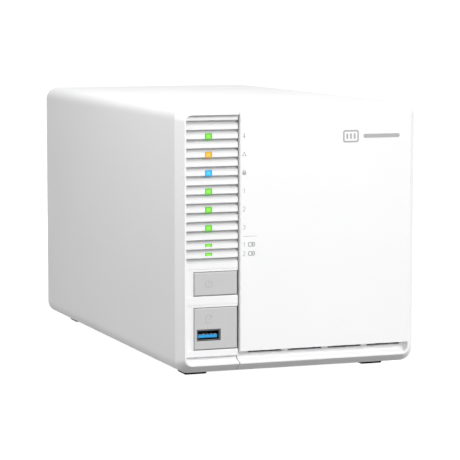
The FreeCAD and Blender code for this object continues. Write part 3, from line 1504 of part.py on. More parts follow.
# ---------------------------------------------------------------- nodes
def nodes():
    usb_shell_part, usb_tongue_part, usb_contacts_part = front_usb()
    rear_shells, rear_tongues = rear_usb()
    made = {
        "main_housing": main_housing(),
        "left_cover": left_cover(),
        "front_door": front_door(),
        "door_magnets": door_magnets(),
        "front_bezel": front_bezel(),
        "light_pipes_green": light_pipes("green"),
        "light_pipe_amber": light_pipes("amber"),
        "light_pipe_blue": light_pipes("blue"),
        "power_button": power_button(),
        "copy_button": copy_button(),
        "front_board": front_board(),
        "board_screws": board_screws(),
        "push_switches": push_switches(),
        "light_chips": light_chips(),
        "front_usb_shell": usb_shell_part,
        "front_usb_tongue": usb_tongue_part,
        "front_usb_contacts": usb_contacts_part,
        "rubber_feet": rubber_feet(),
        "cage_floor": cage_floor(),
        "cage_roof": cage_roof(),
        "cage_sides": cage_sides(),
        "cage_dividers": cage_dividers(),
        "cage_flange": cage_flange(),
        "guide_rails": guide_rails(),
        "backplane_board": backplane_board(),
        "sata_sockets": sata_sockets(),
        "board_link": board_link(),
        "main_board": main_board(),
        "board_standoffs": board_standoffs(),
        "heat_sink": heat_sink(),
        "memory_module": memory_module(),
        "module_sockets": Part.makeCompound([memory_socket()] + ssd_sockets()),
        "ssd_modules": ssd_modules(),
        "coin_cell": coin_cell(),
        "coin_holder": coin_holder(),
        "power_socket": power_socket(),
        "lan_socket": lan_socket(),
        "hdmi_socket": hdmi_socket(),
        "rear_usb_shells": rear_shells,
        "rear_usb_tongues": rear_tongues,
        "reset_button": reset_button(),
        "fan_frame": fan_frame(),
        "fan_rotor": fan_rotor(),
        "rear_panel": rear_panel(),
        "rear_screws": rear_screws(),
    }
    for k in range(bay_count):
        made[f"tray_{k + 1}"] = tray(k)
        made[f"tray_lever_{k + 1}"] = tray_lever(k)
        made[f"tray_release_{k + 1}"] = tray_release(k)
        made[f"hard_drive_{k + 1}"] = Part.makeCompound([hard_drive(k), drive_board(k)])
        made[f"drive_clips_{k + 1}"] = drive_clips(k)
    return made


def main():
    os.makedirs("parts", exist_ok=True)
    for name, shape in nodes().items():
        shape.exportStep(f"parts/{name}.step")


main()
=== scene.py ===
"""Looks of a white three-bay desktop storage unit: finishes, some with painted shade, printed marks, painted
shade in the screw recesses, light and camera.

Lengths are metres in the frame of the part: +X right from the front, the front faces -Y, +Z up.
"""

import math

import bmesh
import bpy
from mathutils import Matrix, Vector


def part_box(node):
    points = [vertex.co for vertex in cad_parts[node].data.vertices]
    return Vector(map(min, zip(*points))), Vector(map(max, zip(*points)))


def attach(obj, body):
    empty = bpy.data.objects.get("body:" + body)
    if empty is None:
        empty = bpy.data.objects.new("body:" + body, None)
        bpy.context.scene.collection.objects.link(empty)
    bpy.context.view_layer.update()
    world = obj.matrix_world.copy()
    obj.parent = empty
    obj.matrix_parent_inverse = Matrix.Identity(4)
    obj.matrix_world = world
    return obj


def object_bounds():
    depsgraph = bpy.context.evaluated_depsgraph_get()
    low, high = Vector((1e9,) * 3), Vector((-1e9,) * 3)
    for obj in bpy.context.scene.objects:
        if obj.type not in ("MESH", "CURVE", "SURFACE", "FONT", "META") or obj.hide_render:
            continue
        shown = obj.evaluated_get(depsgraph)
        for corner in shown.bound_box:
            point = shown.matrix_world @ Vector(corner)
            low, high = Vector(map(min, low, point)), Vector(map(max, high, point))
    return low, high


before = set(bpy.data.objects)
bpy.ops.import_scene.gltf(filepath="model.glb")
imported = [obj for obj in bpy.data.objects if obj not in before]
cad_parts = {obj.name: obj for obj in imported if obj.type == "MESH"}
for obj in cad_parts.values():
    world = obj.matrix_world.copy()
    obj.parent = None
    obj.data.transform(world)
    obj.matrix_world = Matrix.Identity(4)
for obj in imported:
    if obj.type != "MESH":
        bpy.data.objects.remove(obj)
cad_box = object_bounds()

MM = 0.001

# ---------------------------------------------------------------- camera and light
CAMERA_AZIMUTH = math.radians(-20.29)
CAMERA_ELEVATION = math.radians(6.06)
CAMERA_DISTANCE = 1.35606
CAMERA_TARGET = Vector((7.215, 0.0, 67.6)) * MM
CAMERA_LENS = 174.85  # for a sensor 36 wide

FLOOR_REACH = 150.0
FLOOR_GLOW = 0.97
SKY = ((0.38, 0.12), (0.50, 0.64), (0.85, 0.36))  # height from straight down to straight up, strength

# ---------------------------------------------------------------- painted shade of the louvred front, and tones of its lights
ROWS_BELOW = 40  # counts rows of lights from well below the object, so that no place is negative
# painted shade in the louvred front: colour factors for its recesses, its up-facing ledges and a band just
# under each slat
PAINTED_RECESS_SHADE = 0.85
RECESS_DEPTHS = (0.6 * MM, 1.9 * MM)
UNDER_SHADE = 0.24
UNDER_PHASES = (0.60, 0.84)  # share of the louvre's pitch, with the middle of a crest at a half
LEDGE_SHADE = 0.22
LEDGE_DEPTHS = (0.0 * MM, 0.5 * MM)
LOUVRE_CLEAR = 2.4 * MM  # top of the power button to the lowest louvre

# ---------------------------------------------------------------- printed marks, and painted shade in the screw recesses
INK_LIFT = 0.03 * MM
INK_THICK = 0.03 * MM
MARK_COLUMN = 2.4 * MM  # left edge of the door to the middle of the marks
MARK_HEIGHT = 2.3 * MM
LINE = 0.32 * MM
RULE_STEPS = 4.5  # the network mark to the rule, in steps between lights
CARD_STEPS = 4.45  # the network mark to half a step above the first card
CARD_SHIFT = 4.3 * MM  # middle of a number to the middle of its card
SIGN_IN = 27.9 * MM  # right edge of the door to the middle of its sign
SIGN_DOWN = 18.1 * MM
COPY_DOWN = 7.4 * MM  # top of the copy button to its mark
REAR_SIGN_GAP = 3.6 * MM  # edge of the LAN socket to the middle of the rear signs
PLUG_SHARES = (0.22, 0.78)  # rear plug signs along the height of both sockets
SCREW_FACE = 0.05 * MM  # slack in finding the outermost faces of the screws
SCREW_APART = 8 * MM  # closest two screws


def direction(azimuth, elevation):
    """Unit vector from the target towards a viewer."""
    flat = math.cos(elevation)
    return Vector((math.sin(azimuth) * flat, -math.cos(azimuth) * flat, math.sin(elevation)))


def link(thing):
    bpy.context.scene.collection.objects.link(thing)
    return thing


def make_camera():
    data = bpy.data.cameras.new("view")
    data.sensor_width = 36.0
    data.lens = CAMERA_LENS
    data.clip_start, data.clip_end = 0.05, 4 * FLOOR_REACH
    camera = link(bpy.data.objects.new("view", data))
    back = direction(CAMERA_AZIMUTH, CAMERA_ELEVATION)
    camera.location = CAMERA_TARGET + CAMERA_DISTANCE * back
    camera.rotation_euler = (-back).to_track_quat("-Z", "Y").to_euler()
    bpy.context.scene.camera = camera


def softbox(name, azimuth, elevation, distance, size, watts):
    """An area light that looks at the middle of the object and isn't seen itself."""
    data = bpy.data.lights.new(name, "AREA")
    data.shape = "RECTANGLE"
    data.size, data.size_y = size
    data.energy = watts
    lamp = link(bpy.data.objects.new(name, data))
    back = direction(math.radians(azimuth), math.radians(elevation))
    middle = (cad_box[0] + cad_box[1]) / 2
    lamp.location = middle + distance * back
    lamp.rotation_euler = (-back).to_track_quat("-Z", "Y").to_euler()
    lamp.visible_camera = False


def make_sky():
    """Brightest around the horizon, darker overhead and darker still towards the ground."""
    world = bpy.data.worlds.new("studio")
    world.use_nodes = True
    bpy.context.scene.world = world
    tree = world.node_tree
    backdrop = tree.nodes["Background"]
    backdrop.inputs["Color"].default_value = (1, 1, 1, 1)
    split = tree.nodes.new("ShaderNodeSeparateXYZ")
    tree.links.new(tree.nodes.new("ShaderNodeTexCoord").outputs["Generated"], split.inputs[0])
    ramp = tree.nodes.new("ShaderNodeValToRGB")
    ramp.color_ramp.elements.new(0.5)
    for stop, (height, strength) in zip(ramp.color_ramp.elements, SKY):
        stop.position = height
        stop.color = (strength, strength, strength, 1)
    height = tree.nodes.new("ShaderNodeMapRange")
    height.inputs["From Min"].default_value = -1.0
    tree.links.new(split.outputs["Z"], height.inputs["Value"])
    tree.links.new(height.outputs["Result"], ramp.inputs["Fac"])
    tree.links.new(ramp.outputs["Color"], backdrop.inputs["Strength"])


# ---------------------------------------------------------------- material building blocks
def finish(name, colour, roughness, metallic=0.0, specular=0.5, coat=0.0):
    """A Principled material whose uniform values sit on the sockets of its shader."""
    made = bpy.data.materials.new(name)
    made.use_nodes = True
    shader = made.node_tree.nodes["Principled BSDF"]
    shader.inputs["Base Color"].default_value = (*colour, 1)
    shader.inputs["Roughness"].default_value = roughness
    shader.inputs["Metallic"].default_value = metallic
    shader.inputs["Specular IOR Level"].default_value = specular
    shader.inputs["Coat Weight"].default_value = coat
    return made


def shader_of(made):
    return made.node_tree.nodes["Principled BSDF"]


def node(made, kind, values=None, **settings):
    """Adds a shader node, with input values by socket name or number and its own settings."""
    added = made.node_tree.nodes.new("ShaderNode" + kind)
    for key, value in settings.items():
        setattr(added, key, value)
    for socket, value in (values or {}).items():
        if isinstance(value, bpy.types.NodeSocket):
            made.node_tree.links.new(value, added.inputs[socket])
        else:
            added.inputs[socket].default_value = value
    return added


def connect(made, output, socket):
    made.node_tree.links.new(output, shader_of(made).inputs[socket])


def place(made):
    """Coordinates fixed to the part, so that a pattern moves with it."""
    return node(made, "TexCoord").outputs["Object"]


def stretched(made, scale):
    return node(made, "Mapping", {"Vector": place(made), "Scale": scale}).outputs["Vector"]


def noise(made, size, detail=2.0, stretch=(1, 1, 1)):
    """Noise with features about size across, in metres."""
    spots = node(made, "TexNoise", {"Vector": stretched(made, stretch), "Scale": 1 / size, "Detail": detail})
    return spots.outputs["Fac"]


def cells(made, size, feature="F1", stretch=(1, 1, 1), output="Distance"):
    field = node(made, "TexVoronoi", {"Vector": stretched(made, stretch), "Scale": 1 / size}, feature=feature)
    return field.outputs[output]


def spread(made, value, low, high, source=(0.3, 0.7)):
    grade = {"Value": value, "From Min": source[0], "From Max": source[1], "To Min": low, "To Max": high}
    return node(made, "MapRange", grade).outputs["Result"]


def maths(made, operation, *values):
    return node(made, "Math", dict(enumerate(values)), operation=operation).outputs[0]


def blend_colours(made, factor, first, second):
    mixer = node(made, "Mix", {"Factor": factor}, data_type="RGBA")
    for socket, value in (("A", first), ("B", second)):
        entry = next(s for s in mixer.inputs if s.name == socket and s.type == "RGBA")
        if isinstance(value, bpy.types.NodeSocket):
            made.node_tree.links.new(value, entry)
        else:
            entry.default_value = (*value, 1)
    return next(s for s in mixer.outputs if s.type == "RGBA")


def shade(colour, factor):
    return tuple(min(1.0, c * factor) for c in colour)


def relief(made, height, depth, base=None):
    """Bump of that depth in metres, on top of another normal if there is one."""
    values = {"Height": height, "Distance": depth, "Strength": 1.0}
    if base is not None:
        values["Normal"] = base
    return node(made, "Bump", values).outputs["Normal"]


def soft_edges(made, radius):
    return node(made, "Bevel", {"Radius": radius}, samples=4).outputs["Normal"]


# ---------------------------------------------------------------- finishes
def moulded(name, colour, roughness, grain=0.35 * MM, depth=0.006 * MM, edge=0.25 * MM):
    """Injection moulded plastic: eroded grain, faint flow in its colour and sheen, and rolled edges."""
    made = finish(name, colour, roughness)
    flow = noise(made, 45 * MM, 3.0)
    pores = noise(made, grain, 3.0)
    connect(made, blend_colours(made, flow, shade(colour, 0.98), shade(colour, 1.02)), "Base Color")
    cloud = maths(made, "ADD", maths(made, "MULTIPLY", flow, 0.6), maths(made, "MULTIPLY", pores, 0.4))
    connect(made, spread(made, cloud, roughness - 0.06, roughness + 0.06), "Roughness")
    connect(made, relief(made, pores, depth, soft_edges(made, edge)), "Normal")
    return made


def plated(name, colour, roughness, brush=(1, 1, 1), depth=0.002 * MM):
    """Plated or rolled metal with fine marks along one way."""
    made = finish(name, colour, roughness, metallic=1.0)
    marks = noise(made, 0.5 * MM, 4.0, brush)
    stains = noise(made, 9 * MM, 3.0)
    connect(made, blend_colours(made, stains, shade(colour, 0.9), shade(colour, 1.06)), "Base Color")
    worn = maths(made, "ADD", maths(made, "MULTIPLY", marks, 0.5), maths(made, "MULTIPLY", stains, 0.5))
    connect(made, spread(made, worn, roughness - 0.08, roughness + 0.1), "Roughness")
    connect(made, relief(made, marks, depth, soft_edges(made, 0.12 * MM)), "Normal")
    return made


def galvanised(name, colour, roughness):
    """Zinc-coated sheet: crystals of slightly different grey, each with its own sheen."""
    made = finish(name, colour, roughness, metallic=1.0)
    crystal = cells(made, 5 * MM, output="Color")
    tone = node(made, "SeparateColor", {0: crystal}).outputs[0]
    fine = noise(made, 0.6 * MM, 4.0)
    connect(made, blend_colours(made, tone, shade(colour, 0.86), shade(colour, 1.08)), "Base Color")
    sheen = maths(made, "ADD", maths(made, "MULTIPLY", tone, 0.7), maths(made, "MULTIPLY", fine, 0.3))
    connect(made, spread(made, sheen, roughness - 0.1, roughness + 0.12, (0.1, 0.9)), "Roughness")
    connect(made, relief(made, fine, 0.003 * MM, soft_edges(made, 0.15 * MM)), "Normal")
    return made


def powder_coat(name, colour, roughness):
    """Baked paint on sheet metal: small orange-peel swells."""
    made = finish(name, colour, roughness)
    swells = noise(made, 0.9 * MM, 2.0)
    patches = noise(made, 30 * MM, 3.0)
    connect(made, blend_colours(made, patches, shade(colour, 0.97), shade(colour, 1.02)), "Base Color")
    connect(made, spread(made, swells, roughness - 0.05, roughness + 0.08), "Roughness")
    connect(made, relief(made, swells, 0.02 * MM, soft_edges(made, 0.2 * MM)), "Normal")
    return made


def rubber(name, colour):
    made = finish(name, colour, 0.95, specular=0.0)
    fine = noise(made, 0.25 * MM, 3.0)
    dust = noise(made, 4 * MM, 4.0)
    connect(made, blend_colours(made, dust, colour, shade(colour, 1.5)), "Base Color")
    connect(made, spread(made, dust, 0.9, 1.0), "Roughness")
    connect(made, relief(made, fine, 0.02 * MM, soft_edges(made, 0.3 * MM)), "Normal")
    return made


def laminate(name, colour):
    """Circuit board: solder mask over tracks that run in two ways, with the weave of glass under it."""
    made = finish(name, colour, 0.35, coat=0.3)
    across = cells(made, 1.6 * MM, "DISTANCE_TO_EDGE", (1, 0.12, 1))
    along = cells(made, 1.6 * MM, "DISTANCE_TO_EDGE", (1, 1, 0.12))
    region = noise(made, 14 * MM, 1.0)
    chosen = spread(made, region, 0.0, 1.0, (0.48, 0.5))
    one = maths(made, "MULTIPLY", across, chosen)
    other = maths(made, "MULTIPLY", along, maths(made, "SUBTRACT", 1.0, chosen))
    tracks = maths(made, "GREATER_THAN", maths(made, "ADD", one, other), 0.12)
    weave = noise(made, 0.3 * MM, 1.0)
    connect(made, blend_colours(made, tracks, shade(colour, 0.62), shade(colour, 1.35)), "Base Color")
    connect(made, spread(made, weave, 0.28, 0.42), "Roughness")
    connect(made, relief(made, tracks, 0.02 * MM, relief(made, weave, 0.004 * MM)), "Normal")
    return made


def louvred(name, colour, roughness):
    """Moulded front with painted shade: darker in its recesses, on its up-facing ledges and just under each
    slat.
    """
    made = moulded(name, colour, roughness, edge=0.06 * MM)
    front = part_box("front_bezel")[0].y
    spot = node(made, "SeparateXYZ", {0: place(made)})
    behind = maths(made, "SUBTRACT", spot.outputs["Y"], front)
    facing = node(made, "SeparateXYZ", {0: node(made, "TexCoord").outputs["Normal"]}).outputs["Z"]
    recessed = spread(made, behind, 0.0, 1.0, LEDGE_DEPTHS)
    # painted shade on up-facing surfaces behind the front, such as the slopes of the louvres
    ledge = maths(made, "MULTIPLY", maths(made, "MAXIMUM", facing, 0.0), recessed)
    painted_ledge_shade = maths(made, "SUBTRACT", 1.0, maths(made, "MULTIPLY", ledge, LEDGE_SHADE))
    low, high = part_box("light_pipe_amber")
    pitch = (low.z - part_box("light_pipe_blue")[0].z) / 2
    turns = maths(made, "DIVIDE", maths(made, "SUBTRACT", spot.outputs["Z"], (low.z + high.z) / 2), pitch)
    phase = maths(made, "FRACT", maths(made, "ADD", turns, 0.5))
    louvre = maths(made, "GREATER_THAN", spot.outputs["Z"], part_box("power_button")[1].z + LOUVRE_CLEAR)
    # painted shade in a band just under each slat, only where the louvres are
    under = maths(made, "MULTIPLY", spread(made, phase, 0.0, UNDER_SHADE, UNDER_PHASES), louvre)
    # painted shade that deepens behind the front, times the painted shade of the ledges
    painted_recess_and_ledge_shade = maths(made, "MULTIPLY", spread(made, behind, 1.0, PAINTED_RECESS_SHADE, RECESS_DEPTHS), painted_ledge_shade)
    tone = maths(made, "MULTIPLY", painted_recess_and_ledge_shade, maths(made, "SUBTRACT", 1.0, under))
    flow = noise(made, 45 * MM, 3.0)
    # all the painted shade, with a faint random flow of colour added to it
    grain = maths(made, "ADD", tone, spread(made, flow, -0.02, 0.02))
    connect(made, blend_colours(made, grain, (0, 0, 0), colour), "Base Color")
    return made


def painted_shade_above(name, colour, painted_shade_colour, roughness, low, high):
    """Moulded insert with painted shade: it turns to a dark shade colour between two heights, and keeps it
    above them.
    """
    made = moulded(name, colour, roughness, grain=0.15 * MM, edge=0.1 * MM)
    height = node(made, "SeparateXYZ", {0: place(made)}).outputs["Z"]
    # the edge of the painted shade wobbles a little with noise
    flow = maths(made, "ADD", height, maths(made, "MULTIPLY", noise(made, 2 * MM), 0.2 * MM))
    connect(made, blend_colours(made, spread(made, flow, 0.0, 1.0, (low, high)), colour, painted_shade_colour), "Base Color")
    return made


def glowing_pipe(name, heart, rim, glow):
    """A lit light pipe: brightest in the middle of its face, deeper towards its edges."""
    made = finish(name, shade(rim, 0.6), 0.25)
    low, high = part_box("light_pipe_amber")
    step = abs(low.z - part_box("light_pipe_blue")[0].z) / 2
    middle = (low + high) / 2
    half = (high - low) / 2
    split = node(made, "SeparateXYZ", {0: place(made)})
    across = maths(made, "SUBTRACT", split.outputs["X"], middle.x)
    side = maths(made, "ABSOLUTE", maths(made, "DIVIDE", across, half.x))
    level = maths(made, "SUBTRACT", split.outputs["Z"], middle.z)
    rows = maths(made, "ADD", level, step / 2 + ROWS_BELOW * step)
    offset = maths(made, "SUBTRACT", maths(made, "MODULO", rows, step), step / 2)
    up = maths(made, "ABSOLUTE", maths(made, "DIVIDE", offset, half.z))
    edge = maths(made, "MAXIMUM", side, up)
    milky = maths(made, "ADD", edge, maths(made, "MULTIPLY", noise(made, 0.7 * MM), 0.12))
    mixed = blend_colours(made, spread(made, milky, 0.0, 1.0, (0.35, 1.05)), heart, rim)
    connect(made, mixed, "Emission Color")
    shader_of(made).inputs["Emission Strength"].default_value = glow
    connect(made, spread(made, noise(made, 0.5 * MM), 0.2, 0.35), "Roughness")
    return made


def ink(name, colour):
    """Pad-printed ink, also used as painted shade in the screw recesses: nearly flat, with a faintly broken
    edge to its tone.
    """
    made = finish(name, colour, 0.6, specular=0.3)
    fine = noise(made, 0.2 * MM, 3.0)
    connect(made, blend_colours(made, fine, shade(colour, 0.9), shade(colour, 1.1)), "Base Color")
    connect(made, spread(made, fine, 0.5, 0.7), "Roughness")
    return made


FINISHES = {
    "white_shell": moulded("satin_white_shell", (0.86, 0.86, 0.865), 0.42),
    "white_door": moulded("smooth_white_door", (0.88, 0.88, 0.885), 0.34, grain=0.25 * MM, depth=0.003 * MM),
    "white_bezel": louvred("satin_white_bezel", (0.86, 0.86, 0.865), 0.42),
    "grey_button": moulded("light_grey_button", (0.53, 0.53, 0.535), 0.38, edge=0.2 * MM),
    "light_green": glowing_pipe("green_pipe", (0.34, 0.84, 0.07), (0.05, 0.36, 0.02), 0.9),
    "light_amber": glowing_pipe("amber_pipe", (0.90, 0.60, 0.05), (0.42, 0.22, 0.02), 0.9),
    "light_blue": glowing_pipe("blue_pipe", (0.06, 0.66, 0.95), (0.01, 0.22, 0.46), 0.9),
    # painted shade: the tongue turns nearly black towards its top, inside the socket
    "usb_blue": painted_shade_above("blue_tongue", (0.004, 0.33, 0.74), (0.001, 0.012, 0.03), 0.3, 24.6 * MM, 25.4 * MM),
    "contact_gold": plated("gold_contact", (0.95, 0.70, 0.28), 0.22),
    "socket_steel": plated("nickel_shell", (0.72, 0.71, 0.69), 0.26, (1, 0.1, 1)),
    "cage_steel": galvanised("zinc_sheet", (0.62, 0.63, 0.64), 0.38),
    "panel_steel": powder_coat("painted_panel", (0.70, 0.70, 0.705), 0.42),
    "screw_steel": plated("screw_steel", (0.55, 0.55, 0.56), 0.3),
    "magnet": plated("plated_magnet", (0.66, 0.65, 0.63), 0.2),
    "foot_rubber": rubber("foot_rubber", (0.006, 0.006, 0.006)),
    "black_plastic": moulded("black_plastic", (0.018, 0.018, 0.019), 0.45),
    "tray_plastic": moulded("charcoal_tray", (0.035, 0.036, 0.038), 0.48),
    "lever_plastic": moulded("light_lever", (0.55, 0.55, 0.555), 0.4),
    "release_blue": moulded("blue_release", (0.02, 0.16, 0.50), 0.38),
    "board_green": laminate("green_board", (0.012, 0.10, 0.045)),
    "pcb_black": laminate("black_board", (0.016, 0.018, 0.017)),
    "drive_metal": plated("cast_drive", (0.50, 0.51, 0.52), 0.38, (1, 1, 0.12), depth=0.004 * MM),
    "heatsink_aluminium": plated("anodised_fins", (0.20, 0.21, 0.23), 0.42, (1, 0.1, 1)),
    "cell_steel": plated("cell_steel", (0.70, 0.70, 0.69), 0.22, (1, 1, 0.1)),
    "fan_black": moulded("fan_black", (0.016, 0.016, 0.017), 0.5, grain=0.3 * MM),
    "socket_black": moulded("socket_black", (0.014, 0.014, 0.015), 0.42),
    "light_chip": moulded("light_chip", (0.75, 0.72, 0.55), 0.3),
}
# painted shade: the front socket's shell sits deep in its hole, so it takes a much darker copy of nickel
PAINTED_SHADE_FINISHES = {"front_usb_shell": plated("nickel_in_painted_shade", (0.16, 0.16, 0.165), 0.34, (1, 0.1, 1))}


def dress_frame():
    """Every node takes the finish of its material slot, but the shell of the front socket takes a darker copy
    of nickel as painted shade.
    """
    for name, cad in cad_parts.items():
        for entry in cad.material_slots:
            entry.material = PAINTED_SHADE_FINISHES.get(name) or FINISHES[entry.material.name.split(".")[0]]


# ---------------------------------------------------------------- drawn marks
def arc(centre, radius, start, end, steps=16):
    """Points along a circle between two angles in degrees, anticlockwise if end is larger."""
    turns = (math.radians(start + (end - start) * i / steps) for i in range(steps + 1))
    return [(centre[0] + radius * math.cos(a), centre[1] + radius * math.sin(a)) for a in turns]


def rounded(width, height, radius, centre=(0, 0)):
    """Outline of a rounded rectangle."""
    points = []
    for quarter, (sx, sy) in enumerate(((1, 1), (-1, 1), (-1, -1), (1, -1))):
        corner = (centre[0] + sx * (width / 2 - radius), centre[1] + sy * (height / 2 - radius))
        points += arc(corner, radius, 90 * quarter, 90 * quarter + 90, 6)
    return points


def stroke(points, width, closed=False):
    """Quads along a drawn line, mitred at its points, as lists of four corners."""
    count = len(points)
    sides = []
    for i, point in enumerate(points):
        here = Vector(point)
        before = Vector(points[i - 1]) if closed or i else None
        after = Vector(points[(i + 1) % count]) if closed or i < count - 1 else None
        come = (here - before).normalized() if before is not None else (after - here).normalized()
        go = (after - here).normalized() if after is not None else come
        normal = Vector((-(come + go).y, (come + go).x)).normalized()
        reach = width / 2 / max(0.4, normal.dot(Vector((-go.y, go.x))))
        sides.append((here + reach * normal, here - reach * normal))
    pairs = list(zip(sides, sides[1:] + sides[:1]))
    if not closed:
        pairs.pop()
    return [[one[0], other[0], other[1], one[1]] for one, other in pairs]


def mark(name, faces, spot, body, made, facing=-1):
    """A printed mark, or a sheet of painted shade, on an upright surface: flat faces given in X and Z about a
    spot, as thick as ink.
    """
    mesh = bmesh.new()
    level = spot.y + facing * INK_LIFT
    for corners in faces:
        places = [Vector((spot.x - facing * c[0], level, spot.z + c[1])) for c in corners]
        mesh.faces.new([mesh.verts.new(p) for p in places])
    bmesh.ops.remove_doubles(mesh, verts=mesh.verts, dist=0.002 * MM)
    grown = bmesh.ops.extrude_face_region(mesh, geom=mesh.faces[:])
    moved = [v for v in grown["geom"] if isinstance(v, bmesh.types.BMVert)]
    bmesh.ops.translate(mesh, verts=moved, vec=(0, facing * INK_THICK, 0))
    bmesh.ops.recalc_face_normals(mesh, faces=mesh.faces)
    return piece(name, mesh, body, made)


def piece(name, mesh, body, made):
    """Turns a bmesh into an object that rides on a body."""
    data = bpy.data.meshes.new(name)
    mesh.to_mesh(data)
    mesh.free()
    data.materials.append(made)
    made_object = link(bpy.data.objects.new(name, data))
    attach(made_object, body)
    return made_object


def digit(number, height):
    """Strokes of a plain 1, 2 or 3."""
    h, r = height, height / 4
    if number == 1:
        return [[(-0.18 * h, 0.3 * h), (0.05 * h, 0.5 * h), (0.05 * h, -0.5 * h)]]
    if number == 2:
        bowl = arc((0, 0.25 * h), r, 170, -30)
        return [bowl + [(-0.27 * h, -0.5 * h), (0.28 * h, -0.5 * h)]]
    return [arc((0, 0.25 * h), r, 150, -90) + arc((0, -0.25 * h), r, 90, -150)]


def strokes(lines, width):
    return [quad for line in lines for quad in stroke(line, width)]


def status_mark():
    """A dot over a short bar."""
    dot = rounded(0.8 * MM, 0.7 * MM, 0.3 * MM, (0, 0.95 * MM))
    bar = rounded(0.8 * MM, 1.5 * MM, 0.2 * MM, (0, -0.4 * MM))
    return [dot, bar]


def network_mark():
    """Three joined dots."""
    top, left, right = (0, 0.7 * MM), (-0.75 * MM, -0.7 * MM), (0.75 * MM, -0.7 * MM)
    dots = [rounded(0.8 * MM, 0.75 * MM, 0.3 * MM, spot) for spot in (top, left, right)]
    arms = [(-0.75 * MM, -0.3 * MM), (-0.75 * MM, 0), (0.75 * MM, 0), (0.75 * MM, -0.3 * MM)]
    return dots + stroke(arms, 0.15 * MM)


def plug_mark():
    """A plug body with a narrower tip."""
    body = rounded(2.1 * MM, 1.9 * MM, 0.25 * MM, (0, -0.4 * MM))
    tip = [(-0.6 * MM, 0.55 * MM), (-0.6 * MM, 1.3 * MM), (0.6 * MM, 1.3 * MM), (0.6 * MM, 0.55 * MM)]
    return [body] + stroke(tip, 0.25 * MM)


def card_mark():
    """A small memory card: frame and chip."""
    frame_line = stroke(rounded(3.5 * MM, 2.0 * MM, 0.4 * MM), 0.5 * MM, True)
    return frame_line + [rounded(1.2 * MM, 1.2 * MM, 0.15 * MM, (0.45 * MM, 0))]


def bays_mark():
    """Plain sign for a unit with three upright drives, then a bar."""
    middle = -12.6 * MM
    case = stroke(rounded(8.6 * MM, 6.0 * MM, 0.9 * MM, (middle, 0)), 0.9 * MM, True)
    drives = [rounded(1.1 * MM, 3.0 * MM, 0.3 * MM, (middle + side * 2.2 * MM, 0)) for side in (-1, 0, 1)]
    return case + drives + [rounded(22.0 * MM, 2.2 * MM, 1.0 * MM, (5.9 * MM, 0))]


def power_mark():
    """Open ring with a bar."""
    ring = stroke(arc((0, 0), 1.9 * MM, 60, -240, 28), 0.3 * MM)
    return ring + stroke([(0, 0.2 * MM), (0, 1.9 * MM)], 0.3 * MM)


def copy_mark():
    """An open page with an arrow that leaves it."""
    page = [(0.6 * MM, 2.2 * MM), (-1.6 * MM, 1.4 * MM), (-1.6 * MM, -2.2 * MM), (1.2 * MM, -2.2 * MM)]
    arrow = [(0.3 * MM, -0.6 * MM), (1.7 * MM, 1.6 * MM)]
    head = [(0.7 * MM, 1.8 * MM), (1.9 * MM, 1.9 * MM), (1.8 * MM, 0.7 * MM)]
    return strokes([page, arrow, head], 0.28 * MM)


def print_marks():
    """Marks of the front, in line with the lights that they name."""
    grey = ink("grey_ink", (0.42, 0.42, 0.43))
    pale = ink("pale_ink", (0.52, 0.52, 0.53))
    faint = ink("faint_ink", (0.40, 0.40, 0.41))
    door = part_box("front_door")
    amber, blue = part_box("light_pipe_amber"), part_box("light_pipe_blue")
    row = ((amber[0] + amber[1]) / 2).z
    step = row - ((blue[0] + blue[1]) / 2).z
    column = door[0].x + MARK_COLUMN
    front = door[0].y

    def on_door(name, faces, x, z, made):
        return mark(name, faces, Vector((x, front, z)), "front_door", made)

    on_door("mark_status", status_mark(), column, row + step, grey)
    on_door("mark_network", network_mark(), column, row, grey)
    on_door("mark_device", plug_mark(), column, row - step, grey)
    for bay in (1, 2, 3):
        level = row - (1 + bay) * step
        on_door(f"mark_bay_{bay}", strokes(digit(bay, MARK_HEIGHT), LINE), column, level, pale)
    rule = rounded(8.2 * MM, 0.25 * MM, 0.1 * MM, (3.3 * MM, 0))
    on_door("mark_rule", [rule], column, row - RULE_STEPS * step, pale)
    for card in (1, 2):
        level = row - (CARD_STEPS + card / 2) * step
        on_door(f"mark_card_{card}", strokes(digit(card, MARK_HEIGHT), LINE), column, level, pale)
        on_door(f"mark_card_{card}_sign", card_mark(), column + CARD_SHIFT, level, grey)
    sign = Vector((door[1].x - SIGN_IN, front, door[1].z - SIGN_DOWN))
    mark("mark_bays", bays_mark(), sign, "front_door", grey)
    power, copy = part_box("power_button"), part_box("copy_button")
    lights = (amber[0].x + amber[1].x) / 2
    power_spot = Vector((lights, power[0].y, (power[0].z + power[1].z) / 2))
    mark("mark_power", power_mark(), power_spot, "power_button", faint)
    copy_spot = Vector((lights, copy[0].y, copy[1].z - COPY_DOWN))
    mark("mark_copy", copy_mark(), copy_spot, "copy_button", faint)


def ring_mark():
    """Ring with a dot, for the supply."""
    ring = stroke(arc((0, 0), 1.7 * MM, 0, 360, 28)[:-1], 0.35 * MM, True)
    return ring + [rounded(1.1 * MM, 1.1 * MM, 0.5 * MM)]


def screen_mark():
    """A display on its stand."""
    screen = stroke(rounded(3.8 * MM, 2.6 * MM, 0.3 * MM, (0, 0.4 * MM)), 0.35 * MM, True)
    return screen + [rounded(2.0 * MM, 0.35 * MM, 0.15 * MM, (0, -1.6 * MM))]


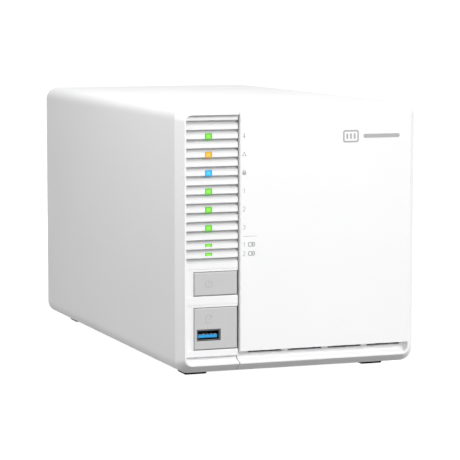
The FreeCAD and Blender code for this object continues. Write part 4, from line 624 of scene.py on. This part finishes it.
def screw_recesses():
    """Painted shade of a cross recess, as a near-black sheet on the heads that stand out furthest, which are
    the three screws of the left cover.
    """
    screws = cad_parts["rear_screws"]
    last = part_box("rear_screws")[1].y
    heads = []
    for vertex in screws.data.vertices:
        if vertex.co.y < last - SCREW_FACE:
            continue
        near = next((h for h in heads if (h[0] - vertex.co).length < SCREW_APART), None)
        if near is None:
            heads.append([vertex.co.copy()])
        else:
            near.append(vertex.co.copy())
    # painted shade of the cross recess, in near black
    dark = ink("recess_shade", (0.03, 0.03, 0.03))
    bars = [rounded(2.6 * MM, 0.55 * MM, 0.1 * MM), rounded(0.55 * MM, 2.6 * MM, 0.1 * MM)]
    for number, head in enumerate(heads):
        low = Vector(min(p[i] for p in head) for i in range(3))
        high = Vector(max(p[i] for p in head) for i in range(3))
        middle = (low + high) / 2
        mark(f"painted_screw_recess_shade_{number + 1}", bars, middle, "enclosure", dark, facing=1)


def print_rear_marks():
    """Plain signs beside the rear sockets."""
    grey = ink("rear_ink", (0.10, 0.10, 0.105))
    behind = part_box("rear_panel")[1].y
    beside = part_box("lan_socket")[1].x + REAR_SIGN_GAP
    signs = {"power_socket": ring_mark(), "lan_socket": network_mark(), "hdmi_socket": screen_mark()}
    for node_name, faces in signs.items():
        low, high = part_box(node_name)
        spot = Vector((beside, behind, (low.z + high.z) / 2))
        mark("mark_" + node_name, faces, spot, "enclosure", grey, facing=1)
    low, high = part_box("rear_usb_shells")
    for number, share in enumerate(PLUG_SHARES):
        name = f"mark_rear_plug_{number + 1}"
        spot = Vector((beside, behind, low.z + share * (high.z - low.z)))
        mark(name, plug_mark(), spot, "enclosure", grey, facing=1)


# ---------------------------------------------------------------- floor
def make_floor():
    mesh = bmesh.new()
    bmesh.ops.create_circle(mesh, cap_ends=True, radius=FLOOR_REACH, segments=64)
    data = bpy.data.meshes.new("floor")
    mesh.to_mesh(data)
    mesh.free()
    made = finish("pale_floor", (0.35, 0.35, 0.35), 0.8, specular=0.0)
    shader_of(made).inputs["Emission Color"].default_value = (1, 1, 1, 1)
    shader_of(made).inputs["Emission Strength"].default_value = FLOOR_GLOW
    data.materials.append(made)
    floor = link(bpy.data.objects.new("floor", data))
    floor.visible_diffuse = False


make_camera()
make_sky()
make_floor()
softbox("front_key", 16, 30, 1.9, (1.1, 0.8), 28)
softbox("top_light", 0, 84, 1.9, (1.5, 1.5), 11.3)
softbox("left_fill", -61, 46, 0.415, (0.3, 0.25), 0.74)
bpy.context.scene.view_settings.view_transform = "Standard"
dress_frame()
print_marks()
print_rear_marks()
screw_recesses()
